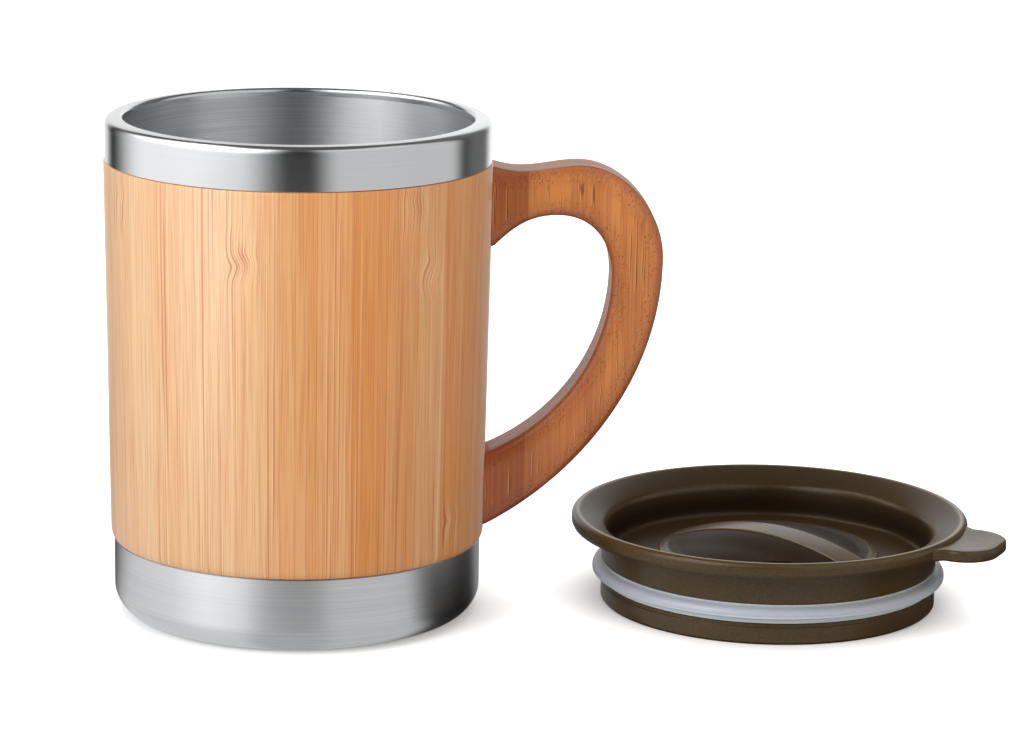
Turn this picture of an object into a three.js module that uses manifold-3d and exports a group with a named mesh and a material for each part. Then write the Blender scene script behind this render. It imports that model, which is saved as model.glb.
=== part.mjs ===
// A double-walled mug with a bamboo sleeve and handle, and its press-in lid lying beside it.
// Millimetres, +Z up. The origin is the centre of the mug's base on the table. The handle points along +X.

import * as THREE from 'three';
import { mergeVertices } from 'three/addons/utils/BufferGeometryUtils.js';
import Module from 'manifold-3d';

const wasm = await Module();
wasm.setup();

// Mug
const MUG_HEIGHT = 110;
const RIM_RADIUS = 42;
const RIM_BAND_HEIGHT = 9.6;
const LIP_WIDTH = 4;
const LIP_FALL = 0.9;
const LIP_ROUND = 1;
const LIP_CREST_INSET = 0.9;
const LIP_DEPTH = 1.8;
const STEEL_WALL = 0.8;
const BASE_HEIGHT = 17.05;
const BASE_STEP = 0.7;
const BASE_CORNER = 6;
const BASE_NECK = 7;

// Liner
const LINER_STEP = 2.4;
const LINER_STRAIGHT = 16;
const LINER_SHOULDER = 4;
const LINER_FLOOR = 8;
const LINER_CORNER = 8;
const LINER_FLANGE = 2.2;

// Bamboo sleeve
const SLEEVE_PROUD = 0.3;
const SLEEVE_TAPER = 1.25;
const SLEEVE_EDGE = 0.65;
const SLEEVE_EDGE_HEIGHT = 2;

// Handle
const HANDLE_REACH = 37.2;
const HANDLE_THICKNESS = 12;
const HANDLE_EDGE = 2;
const HANDLE_DROP = 0.6;
const HANDLE_LIFT = 2.45;
const GRIP_WIDTH = 11.2;
const ARM_HEIGHT = 11;
const CREST_REACH = 18.8;
const CREST_RISE = 0.3;
const ARM_DIP = 2.4;
const UPPER_ROOT = 17.7;
const LOWER_ROOT = 16.4;
const BEND_DEPTH = 20.3;
const GAP_CROWN_REACH = 14;
const GAP_BEND_DEPTH = 13.6;

// How far along its span each stretch of the handle's outline keeps its starting direction
const DIP_START = 0.4;
const DIP_END = 0.35;
const BEND_FULLNESS = 0.52;
const SWEEP_START = 0.46;
const SWEEP_END = [0.52, 0.175];
const GAP_SWEEP_START = 0.4;
const GAP_SWEEP_END = [0.64, 0.18];
const GAP_FULLNESS = 0.61;
const GAP_RISE_START = [0.27, 0.53];
const GAP_RISE_END = 0.48;
const ROOT_SLOPE = 0.5;

// Handle screws
const SCREW_RADIUS = 1.75;
const SCREW_HEAD_RADIUS = 3.2;
const SCREW_HEAD_RIM = 0.3;
const SCREW_HEAD_DEPTH = 1.3;
const SCREW_LEAD = 1.2;
const SCREW_TIP = 2;
const UPPER_SCREW_LENGTH = 16;
const LOWER_SCREW_LENGTH = 11;
const UPPER_SCREW_DROP = 5.8;
const LOWER_SCREW_RISE = 11;

// Lid
const LID_DISTANCE = 19.4;
const LID_BACK = 5.1;
const PLUG_CLEARANCE = 0.5;
const PLUG_WALL = 2.2;
const FOOT_EDGE = 0.5;
const FOOT_STEP_HEIGHT = 3.9;
const FOOT_STEP = 0.3;
const GROOVE_LOW = 4.7;
const GROOVE_HEIGHT = 4.4;
const GROOVE_DEPTH = 1.2;
const DISH_FLOOR = 9.5;
const DISH_FLOOR_WALL = 2.2;
const DISH_WALL = 1.8;
const DISH_DRAFT = 0.8;
const DISH_CORNER = 1.2;
const FLARE_START = 15.2;
const FLANGE_OVERHANG = 2.3;
const FLANGE_BOTTOM = 16.8;
const FLANGE_TOP = 20;
const FLANGE_ROUND = 0.7;
const BRIM_DEPTH = 3.3;
const BRIM_ROUND_WIDTH = 1.3;
const BRIM_ROUND_HEIGHT = 1.2;
const TAB_ANGLE = -28;
const TAB_REACH = 10.2;
const TAB_WIDTH = 20.4;
const TAB_ROUND = 8;
const TAB_THICKNESS = 2.6;
const TAB_ROOT = 1.6;
const TAB_FILLET = 2;

// Gasket
const GASKET_SQUEEZE = 1.6;
const GASKET_SKIRT = 0.7;
const GASKET_DROP = 2.65;

// Closure dial
const DIAL_ANGLE = -38;
const DIAL_TURN = 90;
const DIAL_RADIUS = 24.6;
const DIAL_EDGE = 1.4;
const DIAL_CROWN = 5;
const BAR_WIDTH = 7.4;
const SCOOP_RIM = 1.4;
const SCOOP_DEPTH = 0.7;
const PORT_DISTANCE = 18.4;
const PORT_ANGLE = 38;
const PORT_LENGTH = 9;
const PORT_WIDTH = 4.6;
const STEM_RADIUS = 3;
const STEM_END = 3.4;
const SEAL_RADIUS = 23.6;
const SEAL_WIDTH = 1.6;
const SEAL_HEIGHT = 0.9;
const RETAINER_RADIUS = 6.5;
const RETAINER_THICKNESS = 1;
const RETAINER_GRIP = 0.7;

// Clearances: a glued or snapped fit, and a running or cut gap
const FIT = 0.15;
const GAP = 0.3;

// Facets round the mug and lid, round small pieces, and along each curve
const SIDES = 40;
const SMALL_SIDES = 24;
const MERGE_DISTANCE = 1e-4;
const CURVE_STEPS = 10;
const ARC_STEPS = 4;
const SMALL_ARC_STEPS = 3;
const EDGE_STEPS = 3;
const CROWN_STEPS = 6;

// Radii and heights that follow from the sizes above
const mouthRadius = RIM_RADIUS - LIP_WIDTH;
const rimBottom = MUG_HEIGHT - RIM_BAND_HEIGHT;
const lipUnder = MUG_HEIGHT - LIP_DEPTH;
const bandInside = RIM_RADIUS - STEEL_WALL;
const linerOutside = mouthRadius + STEEL_WALL;
const sleeveBore = linerOutside + FIT;
const sleeveTop = RIM_RADIUS + SLEEVE_PROUD;
const sleeveFoot = sleeveTop - SLEEVE_TAPER;
const baseRadius = sleeveFoot - BASE_STEP;
const plugRadius = mouthRadius - PLUG_CLEARANCE;
const plugBore = plugRadius - PLUG_WALL;
const flangeRadius = RIM_RADIUS + FLANGE_OVERHANG;
const grooveTop = GROOVE_LOW + GROOVE_HEIGHT;
const floorUnder = DISH_FLOOR - DISH_FLOOR_WALL;
const dialBottom = DISH_FLOOR + GAP;
const dialEdgeTop = dialBottom + DIAL_EDGE;
const handleTop = rimBottom - HANDLE_DROP;
const handleFoot = BASE_HEIGHT + HANDLE_LIFT;

const steel = (roughness) => new THREE.MeshStandardMaterial({ color: 0xc4c6c8, metalness: 1, roughness });
const bamboo = (color) => new THREE.MeshStandardMaterial({ color, metalness: 0, roughness: 0.5 });
const plastic = () => new THREE.MeshStandardMaterial({ color: 0x392c1c, metalness: 0, roughness: 0.55 });
const silicone = () => new THREE.MeshStandardMaterial({ color: 0xd6dde4, metalness: 0, roughness: 0.4 });

// The outside of the sleeve at a height: a straight taper from its top to its foot.
function sleeveRadiusAt(z) {
  return sleeveFoot + (SLEEVE_TAPER * (z - BASE_HEIGHT)) / (rimBottom - BASE_HEIGHT);
}

// An elliptical arc about [radius, height], with its two half widths and its end angles in degrees.
function arc([centreRadius, centreHeight], [across, up], [from, to], steps = SMALL_ARC_STEPS) {
  return Array.from({ length: steps + 1 }, (_, i) => {
    const angle = THREE.MathUtils.degToRad(from + ((to - from) * i) / steps);
    return [centreRadius + across * Math.cos(angle), centreHeight + up * Math.sin(angle)];
  });
}

// A solid of revolution about Z. The profile runs anticlockwise, with the outside going up.
function turned(profile, sides = SIDES) {
  const points = profile.map(([radius, height]) => new THREE.Vector2(radius, height));
  return new THREE.LatheGeometry(points, sides).rotateX(Math.PI / 2);
}

// A ring whose profile closes on itself.
function ring(profile, sides = SIDES) {
  return turned([...profile, profile[0]], sides);
}

// A plan outline drawn up along Z from a height.
function raised(shape, bottom, height, curveSegments = CURVE_STEPS) {
  const options = { depth: height, bevelEnabled: false, curveSegments };
  return new THREE.ExtrudeGeometry(shape, options).translate(0, 0, bottom);
}

// A closed geometry as a solid for joining and cutting.
function solid(geometry) {
  const bare = geometry.clone();
  bare.deleteAttribute('normal');
  bare.deleteAttribute('uv');
  const merged = mergeVertices(bare, MERGE_DISTANCE);
  const index = merged.index.array;
  const kept = [];
  for (let i = 0; i < index.length; i += 3) {
    const [a, b, c] = [index[i], index[i + 1], index[i + 2]];
    if (a !== b && b !== c && c !== a) kept.push(a, b, c);
  }
  const vertProperties = new Float32Array(merged.attributes.position.array);
  return new wasm.Manifold(new wasm.Mesh({ numProp: 3, vertProperties, triVerts: new Uint32Array(kept) }));
}

// A solid back as a geometry.
function surface(body) {
  const mesh = body.getMesh();
  const geometry = new THREE.BufferGeometry();
  geometry.setAttribute('position', new THREE.BufferAttribute(new Float32Array(mesh.vertProperties), 3));
  geometry.setIndex(new THREE.BufferAttribute(new Uint32Array(mesh.triVerts), 1));
  geometry.computeVertexNormals();
  return geometry;
}

function piece(name, geometry, material) {
  const mesh = new THREE.Mesh(geometry, material);
  mesh.name = name;
  return mesh;
}

// The steel cup that holds the drink: straight where the lid plugs in, then drawn in for the air gap.
function innerLiner() {
  const low = mouthRadius - LINER_STEP;
  const lowOutside = low + STEEL_WALL;
  const shoulderTop = MUG_HEIGHT - LINER_STRAIGHT;
  const shoulderFoot = shoulderTop - LINER_SHOULDER;
  const corner = [low - LINER_CORNER, LINER_FLOOR + LINER_CORNER];
  const outerCorner = LINER_CORNER + STEEL_WALL;
  return turned([
    [0, LINER_FLOOR - STEEL_WALL],
    ...arc(corner, [outerCorner, outerCorner], [-90, 0], ARC_STEPS),
    [lowOutside, shoulderFoot],
    [linerOutside, shoulderTop],
    [linerOutside, lipUnder - STEEL_WALL],
    [mouthRadius + LINER_FLANGE, lipUnder - STEEL_WALL],
    [mouthRadius + LINER_FLANGE, lipUnder],
    [mouthRadius, lipUnder],
    [mouthRadius, shoulderTop],
    [low, shoulderFoot],
    ...arc(corner, [LINER_CORNER, LINER_CORNER], [0, -90], ARC_STEPS),
    [0, LINER_FLOOR],
  ]);
}

// The steel collar: a skirt over the sleeve's tongue, and a lip that rolls over to the mouth.
function rimBand() {
  const turnHeight = MUG_HEIGHT - LIP_FALL;
  return ring([
    [bandInside, rimBottom],
    [RIM_RADIUS, rimBottom],
    ...arc([RIM_RADIUS - LIP_ROUND, turnHeight - LIP_ROUND], [LIP_ROUND, LIP_ROUND], [0, 90]),
    ...arc([mouthRadius + LIP_CREST_INSET, turnHeight], [LIP_CREST_INSET, LIP_FALL], [90, 180]),
    [mouthRadius, lipUnder],
    [bandInside, lipUnder],
  ]);
}

// The bamboo outer wall: tapered, rounded at its foot, with a tongue that goes up inside the collar.
function bambooSleeve() {
  const tongue = bandInside - FIT;
  const edgeTop = BASE_HEIGHT + SLEEVE_EDGE_HEIGHT;
  const edgeRadius = sleeveRadiusAt(edgeTop);
  const wall = ring([
    [sleeveBore, BASE_HEIGHT],
    ...arc([edgeRadius - SLEEVE_EDGE, edgeTop], [SLEEVE_EDGE, SLEEVE_EDGE_HEIGHT], [-90, 0]),
    [sleeveTop, rimBottom],
    [tongue, rimBottom],
    [tongue, lipUnder - STEEL_WALL - GAP],
    [sleeveBore, lipUnder - STEEL_WALL - GAP],
  ]);
  return surface(bored(solid(wall)));
}

// The steel foot: a round-cornered cup with a neck that the sleeve slips over.
function baseCup() {
  const neck = sleeveBore - FIT;
  const inside = baseRadius - STEEL_WALL;
  const shoulder = BASE_HEIGHT - STEEL_WALL;
  const corner = [baseRadius - BASE_CORNER, BASE_CORNER];
  const innerCorner = BASE_CORNER - STEEL_WALL;
  return turned([
    [0, 0],
    ...arc(corner, [BASE_CORNER, BASE_CORNER], [-90, 0], ARC_STEPS),
    [baseRadius, BASE_HEIGHT],
    [neck, BASE_HEIGHT],
    [neck, BASE_HEIGHT + BASE_NECK],
    [neck - STEEL_WALL, BASE_HEIGHT + BASE_NECK],
    [neck - STEEL_WALL, shoulder],
    [inside, shoulder],
    ...arc(corner, [innerCorner, innerCorner], [0, -90], ARC_STEPS),
    [0, STEEL_WALL],
  ]);
}

// The two wood screws run out from the sleeve's bore into the handle's roots, head inwards.
const screws = [
  { name: 'upper_handle_screw', height: handleTop - UPPER_SCREW_DROP, length: UPPER_SCREW_LENGTH },
  { name: 'lower_handle_screw', height: handleFoot + LOWER_SCREW_RISE, length: LOWER_SCREW_LENGTH },
];
const screwStart = sleeveBore + GAP;

// A countersunk screw about Z with its head face at zero, grown by a clearance and led back for its hole.
function screwForm({ height, length }, grown, lead) {
  const form = turned([
    [0, -lead],
    [SCREW_HEAD_RADIUS + grown, -lead],
    [SCREW_HEAD_RADIUS + grown, SCREW_HEAD_RIM],
    [SCREW_RADIUS + grown, SCREW_HEAD_DEPTH + grown],
    [SCREW_RADIUS + grown, length - SCREW_TIP + grown],
    [0, length + grown],
  ], SMALL_SIDES);
  return form.rotateY(Math.PI / 2).translate(screwStart, 0, height);
}

// A solid with both screw holes cut through it.
function bored(body) {
  return screws.reduce((left, screw) => left.subtract(solid(screwForm(screw, GAP, SCREW_LEAD))), body);
}

// The handle's outer and inner edges as matching [x, z] points from the upper root to the lower one:
// an arm with a slight dip, a round bend and a long sweep back to the sleeve.
function handleEdges() {
  const inside = sleeveFoot - SLEEVE_TAPER;
  const outer = sleeveTop + HANDLE_REACH;
  const crestX = sleeveTop + CREST_REACH;
  const crest = handleTop + CREST_RISE;
  const bend = handleTop - BEND_DEPTH;
  const gapOuter = outer - GRIP_WIDTH;
  const gapCrownX = sleeveTop + GAP_CROWN_REACH;
  const gapCrown = crest - ARM_HEIGHT;
  const gapBend = gapCrown - GAP_BEND_DEPTH;
  const gapTop = handleTop - UPPER_ROOT;
  const gapFoot = handleFoot + LOWER_ROOT;
  const rootFall = (sleeveFoot - inside) * ROOT_SLOPE;
  const between = (from, to, share) => from + (to - from) * share;
  const outerEdge = joined(
    [inside, handleTop],
    [
      [sleeveTop, handleTop],
      [between(sleeveTop, crestX, DIP_START), handleTop - ARM_DIP],
      [between(crestX, sleeveTop, DIP_END), crest],
      [crestX, crest],
    ],
    [
      [crestX, crest],
      [between(crestX, outer, BEND_FULLNESS), crest],
      [outer, between(bend, crest, BEND_FULLNESS)],
      [outer, bend],
    ],
    [
      [outer, bend],
      [outer, between(bend, handleFoot, SWEEP_START)],
      [between(sleeveFoot, outer, SWEEP_END[0]), between(handleFoot, bend, SWEEP_END[1])],
      [sleeveFoot, handleFoot],
    ],
    [inside, handleFoot - rootFall],
  );
  const innerEdge = joined(
    [inside, gapTop - rootFall],
    [
      [sleeveTop, gapTop],
      [between(sleeveTop, gapCrownX, GAP_RISE_START[0]), between(gapTop, gapCrown, GAP_RISE_START[1])],
      [between(gapCrownX, sleeveTop, GAP_RISE_END), gapCrown],
      [gapCrownX, gapCrown],
    ],
    [
      [gapCrownX, gapCrown],
      [between(gapCrownX, gapOuter, GAP_FULLNESS), gapCrown],
      [gapOuter, between(gapBend, gapCrown, GAP_FULLNESS)],
      [gapOuter, gapBend],
    ],
    [
      [gapOuter, gapBend],
      [gapOuter, between(gapBend, gapFoot, GAP_SWEEP_START)],
      [between(sleeveFoot, gapOuter, GAP_SWEEP_END[0]), between(gapFoot, gapBend, GAP_SWEEP_END[1])],
      [sleeveFoot, gapFoot],
    ],
    [inside, gapFoot - rootFall],
  );
  return [outerEdge, innerEdge];
}

// A first point, curved stretches of four control points each, and a last point, as one line.
function joined(first, arm, bend, sweep, last) {
  const stretches = [arm, bend, sweep].map((points) => {
    const [from, leave, arrive, to] = points.map(([x, z]) => new THREE.Vector2(x, z));
    return new THREE.CubicBezierCurve(from, leave, arrive, to).getPoints(CURVE_STEPS);
  });
  const curve = stretches.flatMap((points, i) => (i ? points.slice(1) : points));
  return [new THREE.Vector2(...first), ...curve, new THREE.Vector2(...last)];
}

// The handle's board before it is hollowed: a round-edged section carried along between its two edges.
function handleBoard() {
  const [outerEdge, innerEdge] = handleEdges();
  const half = HANDLE_THICKNESS / 2 - HANDLE_EDGE;
  const positions = [];
  outerEdge.forEach((outer, i) => {
    const across = outer.clone().sub(innerEdge[i]);
    const width = across.length() - HANDLE_EDGE;
    across.normalize();
    [[width, half, 0], [HANDLE_EDGE, half, 90], [HANDLE_EDGE, -half, 180], [width, -half, 270]].forEach(
      ([along, side, turn]) => {
        arc([along, side], [HANDLE_EDGE, HANDLE_EDGE], [turn, turn + 90], EDGE_STEPS).forEach(([w, y]) => {
          const place = innerEdge[i].clone().addScaledVector(across, w);
          positions.push(place.x, y, place.y);
        });
      },
    );
  });
  const count = 4 * (EDGE_STEPS + 1);
  const last = (outerEdge.length - 1) * count;
  const faces = [];
  for (let corner = 0; corner < last; corner += 1) {
    const next = corner % count === count - 1 ? corner + 1 - count : corner + 1;
    faces.push(corner, corner + count, next, next, corner + count, next + count);
  }
  for (let corner = 1; corner < count - 1; corner += 1) {
    faces.push(0, corner, corner + 1, last, last + corner + 1, last + corner);
  }
  const board = new THREE.BufferGeometry();
  board.setAttribute('position', new THREE.Float32BufferAttribute(positions, 3));
  board.setIndex(faces);
  return board;
}

// The bamboo handle: its board hollowed to sit on the sleeve, and bored for the screws.
function handle() {
  const seat = turned([
    [0, 0],
    [sleeveRadiusAt(0) + GAP, 0],
    [sleeveRadiusAt(MUG_HEIGHT) + GAP, MUG_HEIGHT],
    [0, MUG_HEIGHT],
  ]);
  return surface(bored(solid(handleBoard()).subtract(solid(seat))));
}

// A slot with round ends about the origin, longest along X.
function slot(length, width) {
  const half = (length - width) / 2;
  const shape = new THREE.Shape();
  shape.absarc(half, 0, width / 2, -Math.PI / 2, Math.PI / 2);
  shape.absarc(-half, 0, width / 2, Math.PI / 2, (3 * Math.PI) / 2);
  return shape;
}

// A finger scoop's plan: a half moon that the grip bar's straight side and the dial's rim leave over.
function halfMoon() {
  const radius = DIAL_RADIUS - SCOOP_RIM;
  const corner = Math.asin(BAR_WIDTH / 2 / radius);
  const shape = new THREE.Shape();
  shape.absarc(0, 0, radius, Math.PI + corner, 2 * Math.PI - corner);
  shape.closePath();
  return shape;
}

// The thumb tab's plan: a round-ended tongue that widens where it leaves the flange.
function tabOutline() {
  const half = TAB_WIDTH / 2;
  const root = flangeRadius - TAB_ROOT;
  const end = flangeRadius + TAB_REACH;
  const straight = Math.min(flangeRadius + TAB_FILLET, end - TAB_ROUND);
  const shape = new THREE.Shape();
  shape.moveTo(root, -half - TAB_FILLET);
  shape.quadraticCurveTo(flangeRadius, -half, straight, -half);
  shape.absarc(end - TAB_ROUND, -half + TAB_ROUND, TAB_ROUND, -Math.PI / 2, 0);
  shape.absarc(end - TAB_ROUND, half - TAB_ROUND, TAB_ROUND, 0, Math.PI / 2);
  shape.lineTo(straight, half);
  shape.quadraticCurveTo(flangeRadius, half, root, half + TAB_FILLET);
  shape.closePath();
  return shape;
}

// The lid: a dish with a flared brim and a thumb tab, over a hollow plug that carries the gasket's groove.
function lidBody() {
  const groove = plugRadius - GROOVE_DEPTH;
  const dish = plugRadius - DISH_WALL;
  const brimFoot = FLANGE_TOP - BRIM_DEPTH;
  const brimRise = Math.min(BRIM_ROUND_HEIGHT, FLANGE_TOP - FLANGE_BOTTOM - FLANGE_ROUND);
  const stemHole = STEM_RADIUS + FIT;
  const shell = ring([
    [plugBore, 0],
    [plugRadius - FOOT_EDGE, 0],
    [plugRadius, FOOT_EDGE],
    [plugRadius, FOOT_STEP_HEIGHT],
    [plugRadius - FOOT_STEP, FOOT_STEP_HEIGHT],
    [plugRadius - FOOT_STEP, GROOVE_LOW],
    [groove, GROOVE_LOW],
    [groove, grooveTop],
    [plugRadius, grooveTop],
    [plugRadius, FLARE_START],
    [flangeRadius - FLANGE_ROUND / 2, FLANGE_BOTTOM],
    [flangeRadius, FLANGE_BOTTOM + FLANGE_ROUND],
    ...arc([flangeRadius - BRIM_ROUND_WIDTH, FLANGE_TOP - brimRise], [BRIM_ROUND_WIDTH, brimRise], [0, 90]),
    [dish + DISH_DRAFT, brimFoot],
    [dish + DISH_DRAFT / 2, brimFoot - DISH_DRAFT * 2],
    ...arc([dish - DISH_CORNER, DISH_FLOOR + DISH_CORNER], [DISH_CORNER, DISH_CORNER], [0, -90]),
    [stemHole, DISH_FLOOR],
    [stemHole, floorUnder],
    [plugBore, floorUnder],
  ]);
  const tab = raised(tabOutline(), FLANGE_BOTTOM, TAB_THICKNESS).rotateZ(THREE.MathUtils.degToRad(TAB_ANGLE));
  const sip = raised(slot(PORT_LENGTH, PORT_WIDTH), floorUnder - GAP, DISH_FLOOR_WALL + 2 * GAP);
  sip.translate(0, -PORT_DISTANCE, 0).rotateZ(THREE.MathUtils.degToRad(DIAL_ANGLE + PORT_ANGLE - DIAL_TURN));
  return surface(solid(shell).add(solid(tab)).subtract(solid(sip)));
}

// The silicone gasket: a band in the plug's groove with a skirt that droops outwards.
function lidGasket() {
  const inside = plugRadius - GROOVE_DEPTH + FIT;
  const outside = plugRadius - FOOT_STEP;
  const low = GROOVE_LOW + FIT;
  const high = grooveTop - FIT;
  const reach = mouthRadius + GASKET_SQUEEZE;
  const hang = (spread) => arc([outside, high - GASKET_DROP], [spread, GASKET_DROP], [90, 0]);
  return ring([
    [inside, low],
    [outside, low],
    [outside, high - GASKET_SKIRT * 2],
    ...hang(reach - GASKET_SKIRT - outside).slice(1),
    ...hang(reach - outside).reverse(),
    [inside, high],
  ]);
}

// The dial's domed top from its edge to its middle, lowered by a fall.
function crown(fall) {
  return Array.from({ length: CROWN_STEPS + 1 }, (_, i) => {
    const share = 1 - i / CROWN_STEPS;
    return [DIAL_RADIUS * share, dialEdgeTop - fall + DIAL_CROWN * (1 - share * share)];
  });
}

// The closure dial: a domed disc on a stem, with a shallow finger scoop on each side of its grip bar, and a
// sip port through one of them.
function closureDial() {
  const clipRadius = STEM_RADIUS - RETAINER_GRIP;
  const clipTop = floorUnder - GAP + FIT;
  const clipFoot = floorUnder - GAP - RETAINER_THICKNESS - FIT;
  const sealInside = SEAL_RADIUS - SEAL_WIDTH;
  const disc = turned([
    [0, STEM_END],
    [STEM_RADIUS, STEM_END],
    [STEM_RADIUS, clipFoot],
    [clipRadius, clipFoot],
    [clipRadius, clipTop],
    [STEM_RADIUS, clipTop],
    [STEM_RADIUS, dialBottom],
    [sealInside - FIT, dialBottom],
    [sealInside - FIT, dialBottom + SEAL_HEIGHT],
    [SEAL_RADIUS + FIT, dialBottom + SEAL_HEIGHT],
    [SEAL_RADIUS + FIT, dialBottom],
    [DIAL_RADIUS, dialBottom],
    ...crown(0),
  ]);
  const scoopFoot = dialBottom - SCOOP_DEPTH;
  const kept = turned([[0, scoopFoot], [DIAL_RADIUS, scoopFoot], ...crown(SCOOP_DEPTH)]);
  const moon = raised(halfMoon(), dialBottom, DIAL_EDGE + 2 * DIAL_CROWN, SIDES / 2);
  const scoop = solid(moon).subtract(solid(kept));
  const port = raised(slot(PORT_LENGTH, PORT_WIDTH), dialBottom - GAP, DIAL_EDGE + DIAL_CROWN);
  port.translate(0, -PORT_DISTANCE, 0).rotateZ(THREE.MathUtils.degToRad(PORT_ANGLE));
  const scooped = solid(disc).subtract(scoop).subtract(scoop.rotate([0, 0, 180]));
  return surface(scooped.subtract(solid(port)));
}

// The silicone ring in the dial's underside that runs on the dish floor.
function dialSeal() {
  const inside = SEAL_RADIUS - SEAL_WIDTH;
  const low = DISH_FLOOR + FIT;
  const high = dialBottom + SEAL_HEIGHT - FIT;
  return ring([[inside, low], [SEAL_RADIUS, low], [SEAL_RADIUS, high], [inside, high]]);
}

// The washer snapped into the stem's groove, which holds the dial down from below.
function dialRetainer() {
  const inside = STEM_RADIUS - RETAINER_GRIP + FIT;
  const high = floorUnder - GAP;
  const low = high - RETAINER_THICKNESS;
  return ring([[inside, low], [RETAINER_RADIUS, low], [RETAINER_RADIUS, high], [inside, high]], SMALL_SIDES);
}

const mug = new THREE.Group();
mug.add(
  piece('inner_liner', innerLiner(), steel(0.3)),
  piece('rim_band', rimBand(), steel(0.2)),
  piece('bamboo_sleeve', bambooSleeve(), bamboo(0xdca570)),
  piece('base_cup', baseCup(), steel(0.35)),
  piece('handle', handle(), bamboo(0xb8703f)),
  ...screws.map((screw) => piece(screw.name, screwForm(screw, 0, 0), steel(0.4))),
);

const dial = new THREE.Group();
dial.rotation.z = THREE.MathUtils.degToRad(DIAL_ANGLE);
dial.add(
  piece('closure_dial', closureDial(), plastic()),
  piece('dial_seal', dialSeal(), silicone()),
  piece('dial_retainer', dialRetainer(), steel(0.4)),
);

const lid = new THREE.Group();
lid.position.set(RIM_RADIUS + flangeRadius + LID_DISTANCE, LID_BACK, 0);
lid.add(piece('lid_body', lidBody(), plastic()), piece('lid_gasket', lidGasket(), silicone()), dial);

const mugWithLid = new THREE.Group();
mugWithLid.add(mug, lid);

export default mugWithLid;
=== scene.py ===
"""A double-walled bamboo mug and its press-in lid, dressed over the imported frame."""

import math

import bpy
import numpy as np
from bpy.props import FloatProperty, FloatVectorProperty, IntProperty, PointerProperty
from mathutils import Matrix, Vector


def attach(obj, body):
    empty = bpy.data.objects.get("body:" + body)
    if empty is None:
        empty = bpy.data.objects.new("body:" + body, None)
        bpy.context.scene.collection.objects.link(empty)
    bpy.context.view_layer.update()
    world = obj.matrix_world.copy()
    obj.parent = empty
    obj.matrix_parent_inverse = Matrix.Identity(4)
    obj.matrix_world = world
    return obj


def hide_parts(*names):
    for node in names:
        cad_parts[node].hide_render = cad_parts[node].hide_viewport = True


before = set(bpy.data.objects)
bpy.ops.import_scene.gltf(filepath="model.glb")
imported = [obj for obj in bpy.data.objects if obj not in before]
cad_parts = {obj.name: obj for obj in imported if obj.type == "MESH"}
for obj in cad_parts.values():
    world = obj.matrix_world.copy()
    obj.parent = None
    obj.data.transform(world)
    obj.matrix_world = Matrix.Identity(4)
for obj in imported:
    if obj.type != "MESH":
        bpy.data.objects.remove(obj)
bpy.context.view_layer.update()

bl_info = {
    "name": "Bamboo Mug",
    "version": (1, 0, 0),
    "blender": (4, 5, 0),
    "location": "View3D > Sidebar > Bamboo Mug",
    "description": "Builds a double-walled bamboo mug and its lid over the packed frame",
    "category": "Add Mesh",
}

MM = 0.001
TURN = 2 * math.pi
TINY = 1e-9

# Edges sharper than this many degrees stay sharp
CREASE = 40
LID_CREASE = 50

# The camera's sensor in millimetres, its focal length and picture in pixels, and how near and far it sees
SENSOR_WIDTH = 36.0
FOCAL_PIXELS = 3914.34
PICTURE_WIDTH = 1024
SIGHT = (0.01, 20)

# The bamboo's nodes on the sleeve: degrees round the mug from the handle, and millimetres of height
KNOTS = ((-154, 92), (-106, 86.5), (-49, 82), (-54.5, 96.4), (-38, 25))

# How far a node spreads round (in radians) and up, and how far its fibres sway round (in radians)
KNOT_SPREAD = 0.085
KNOT_TALL = 5 * MM
KNOT_SWAY = 0.15

# The radius on which the sleeve's fibres are drawn, so that its taper doesn't cut them short
SLEEVE_MIDDLE = 42 * MM

# How far the painted highlight beside a fibre's dark line lies from it, and how wide the painted highlight
# along an edge of the plastic is
GLINT_OFFSET = (0.24 * MM, 0, 0)
EDGE_GLINT_WIDTH = (0.1 * MM, 0.6 * MM)

# Plating in its duller clouds, as light
ZINC_DULL = (0.50, 0.50, 0.47, 1.0)

# Stretches of the surround, in degrees from the viewer round to the right: where each rises and falls
LEFT_BOX = ((-140, -100), (-34, -6))
RIGHT_BOX = ((6, 24), (98, 114))
LEFT_APRON = ((-150, -110), (-28, -17))
FRONT_APRON = ((-28, -17), (12, 18))
RIGHT_APRON = ((12, 18), (60, 80))

# The point that the softboxes face, and the floor's half width, in metres
LIT_POINT = (0.05, 0, 0.05)
FLOOR_HALF = 3


# Properties


def length(name, description, millimetres):
    """A length, written in millimetres and kept in metres."""
    return FloatProperty(
        name=name, description=description, default=millimetres * MM, unit="LENGTH", precision=4
    )


def share(name, description, default):
    """A plain number without a unit."""
    return FloatProperty(name=name, description=description, default=default, precision=3)


def watts(name, description, default):
    """A lamp's power in watts."""
    return FloatProperty(name=name, description=description, default=default, unit="POWER")


def degrees(name, description, default):
    """An angle, written in degrees and kept in radians."""
    return FloatProperty(
        name=name, description=description, default=math.radians(default), subtype="ANGLE"
    )


def colour(name, description, red, green, blue):
    """A colour, written as it shows on a screen from 0 to 255 and kept as light."""
    shown = np.array([red, green, blue]) / 255
    light = np.where(shown <= 0.04045, shown / 12.92, ((shown + 0.055) / 1.055) ** 2.4)
    return FloatVectorProperty(
        name=name, description=description, default=(*light.tolist(), 1.0), size=4, subtype="COLOR",
        min=0.0, max=1.0,
    )


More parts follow.
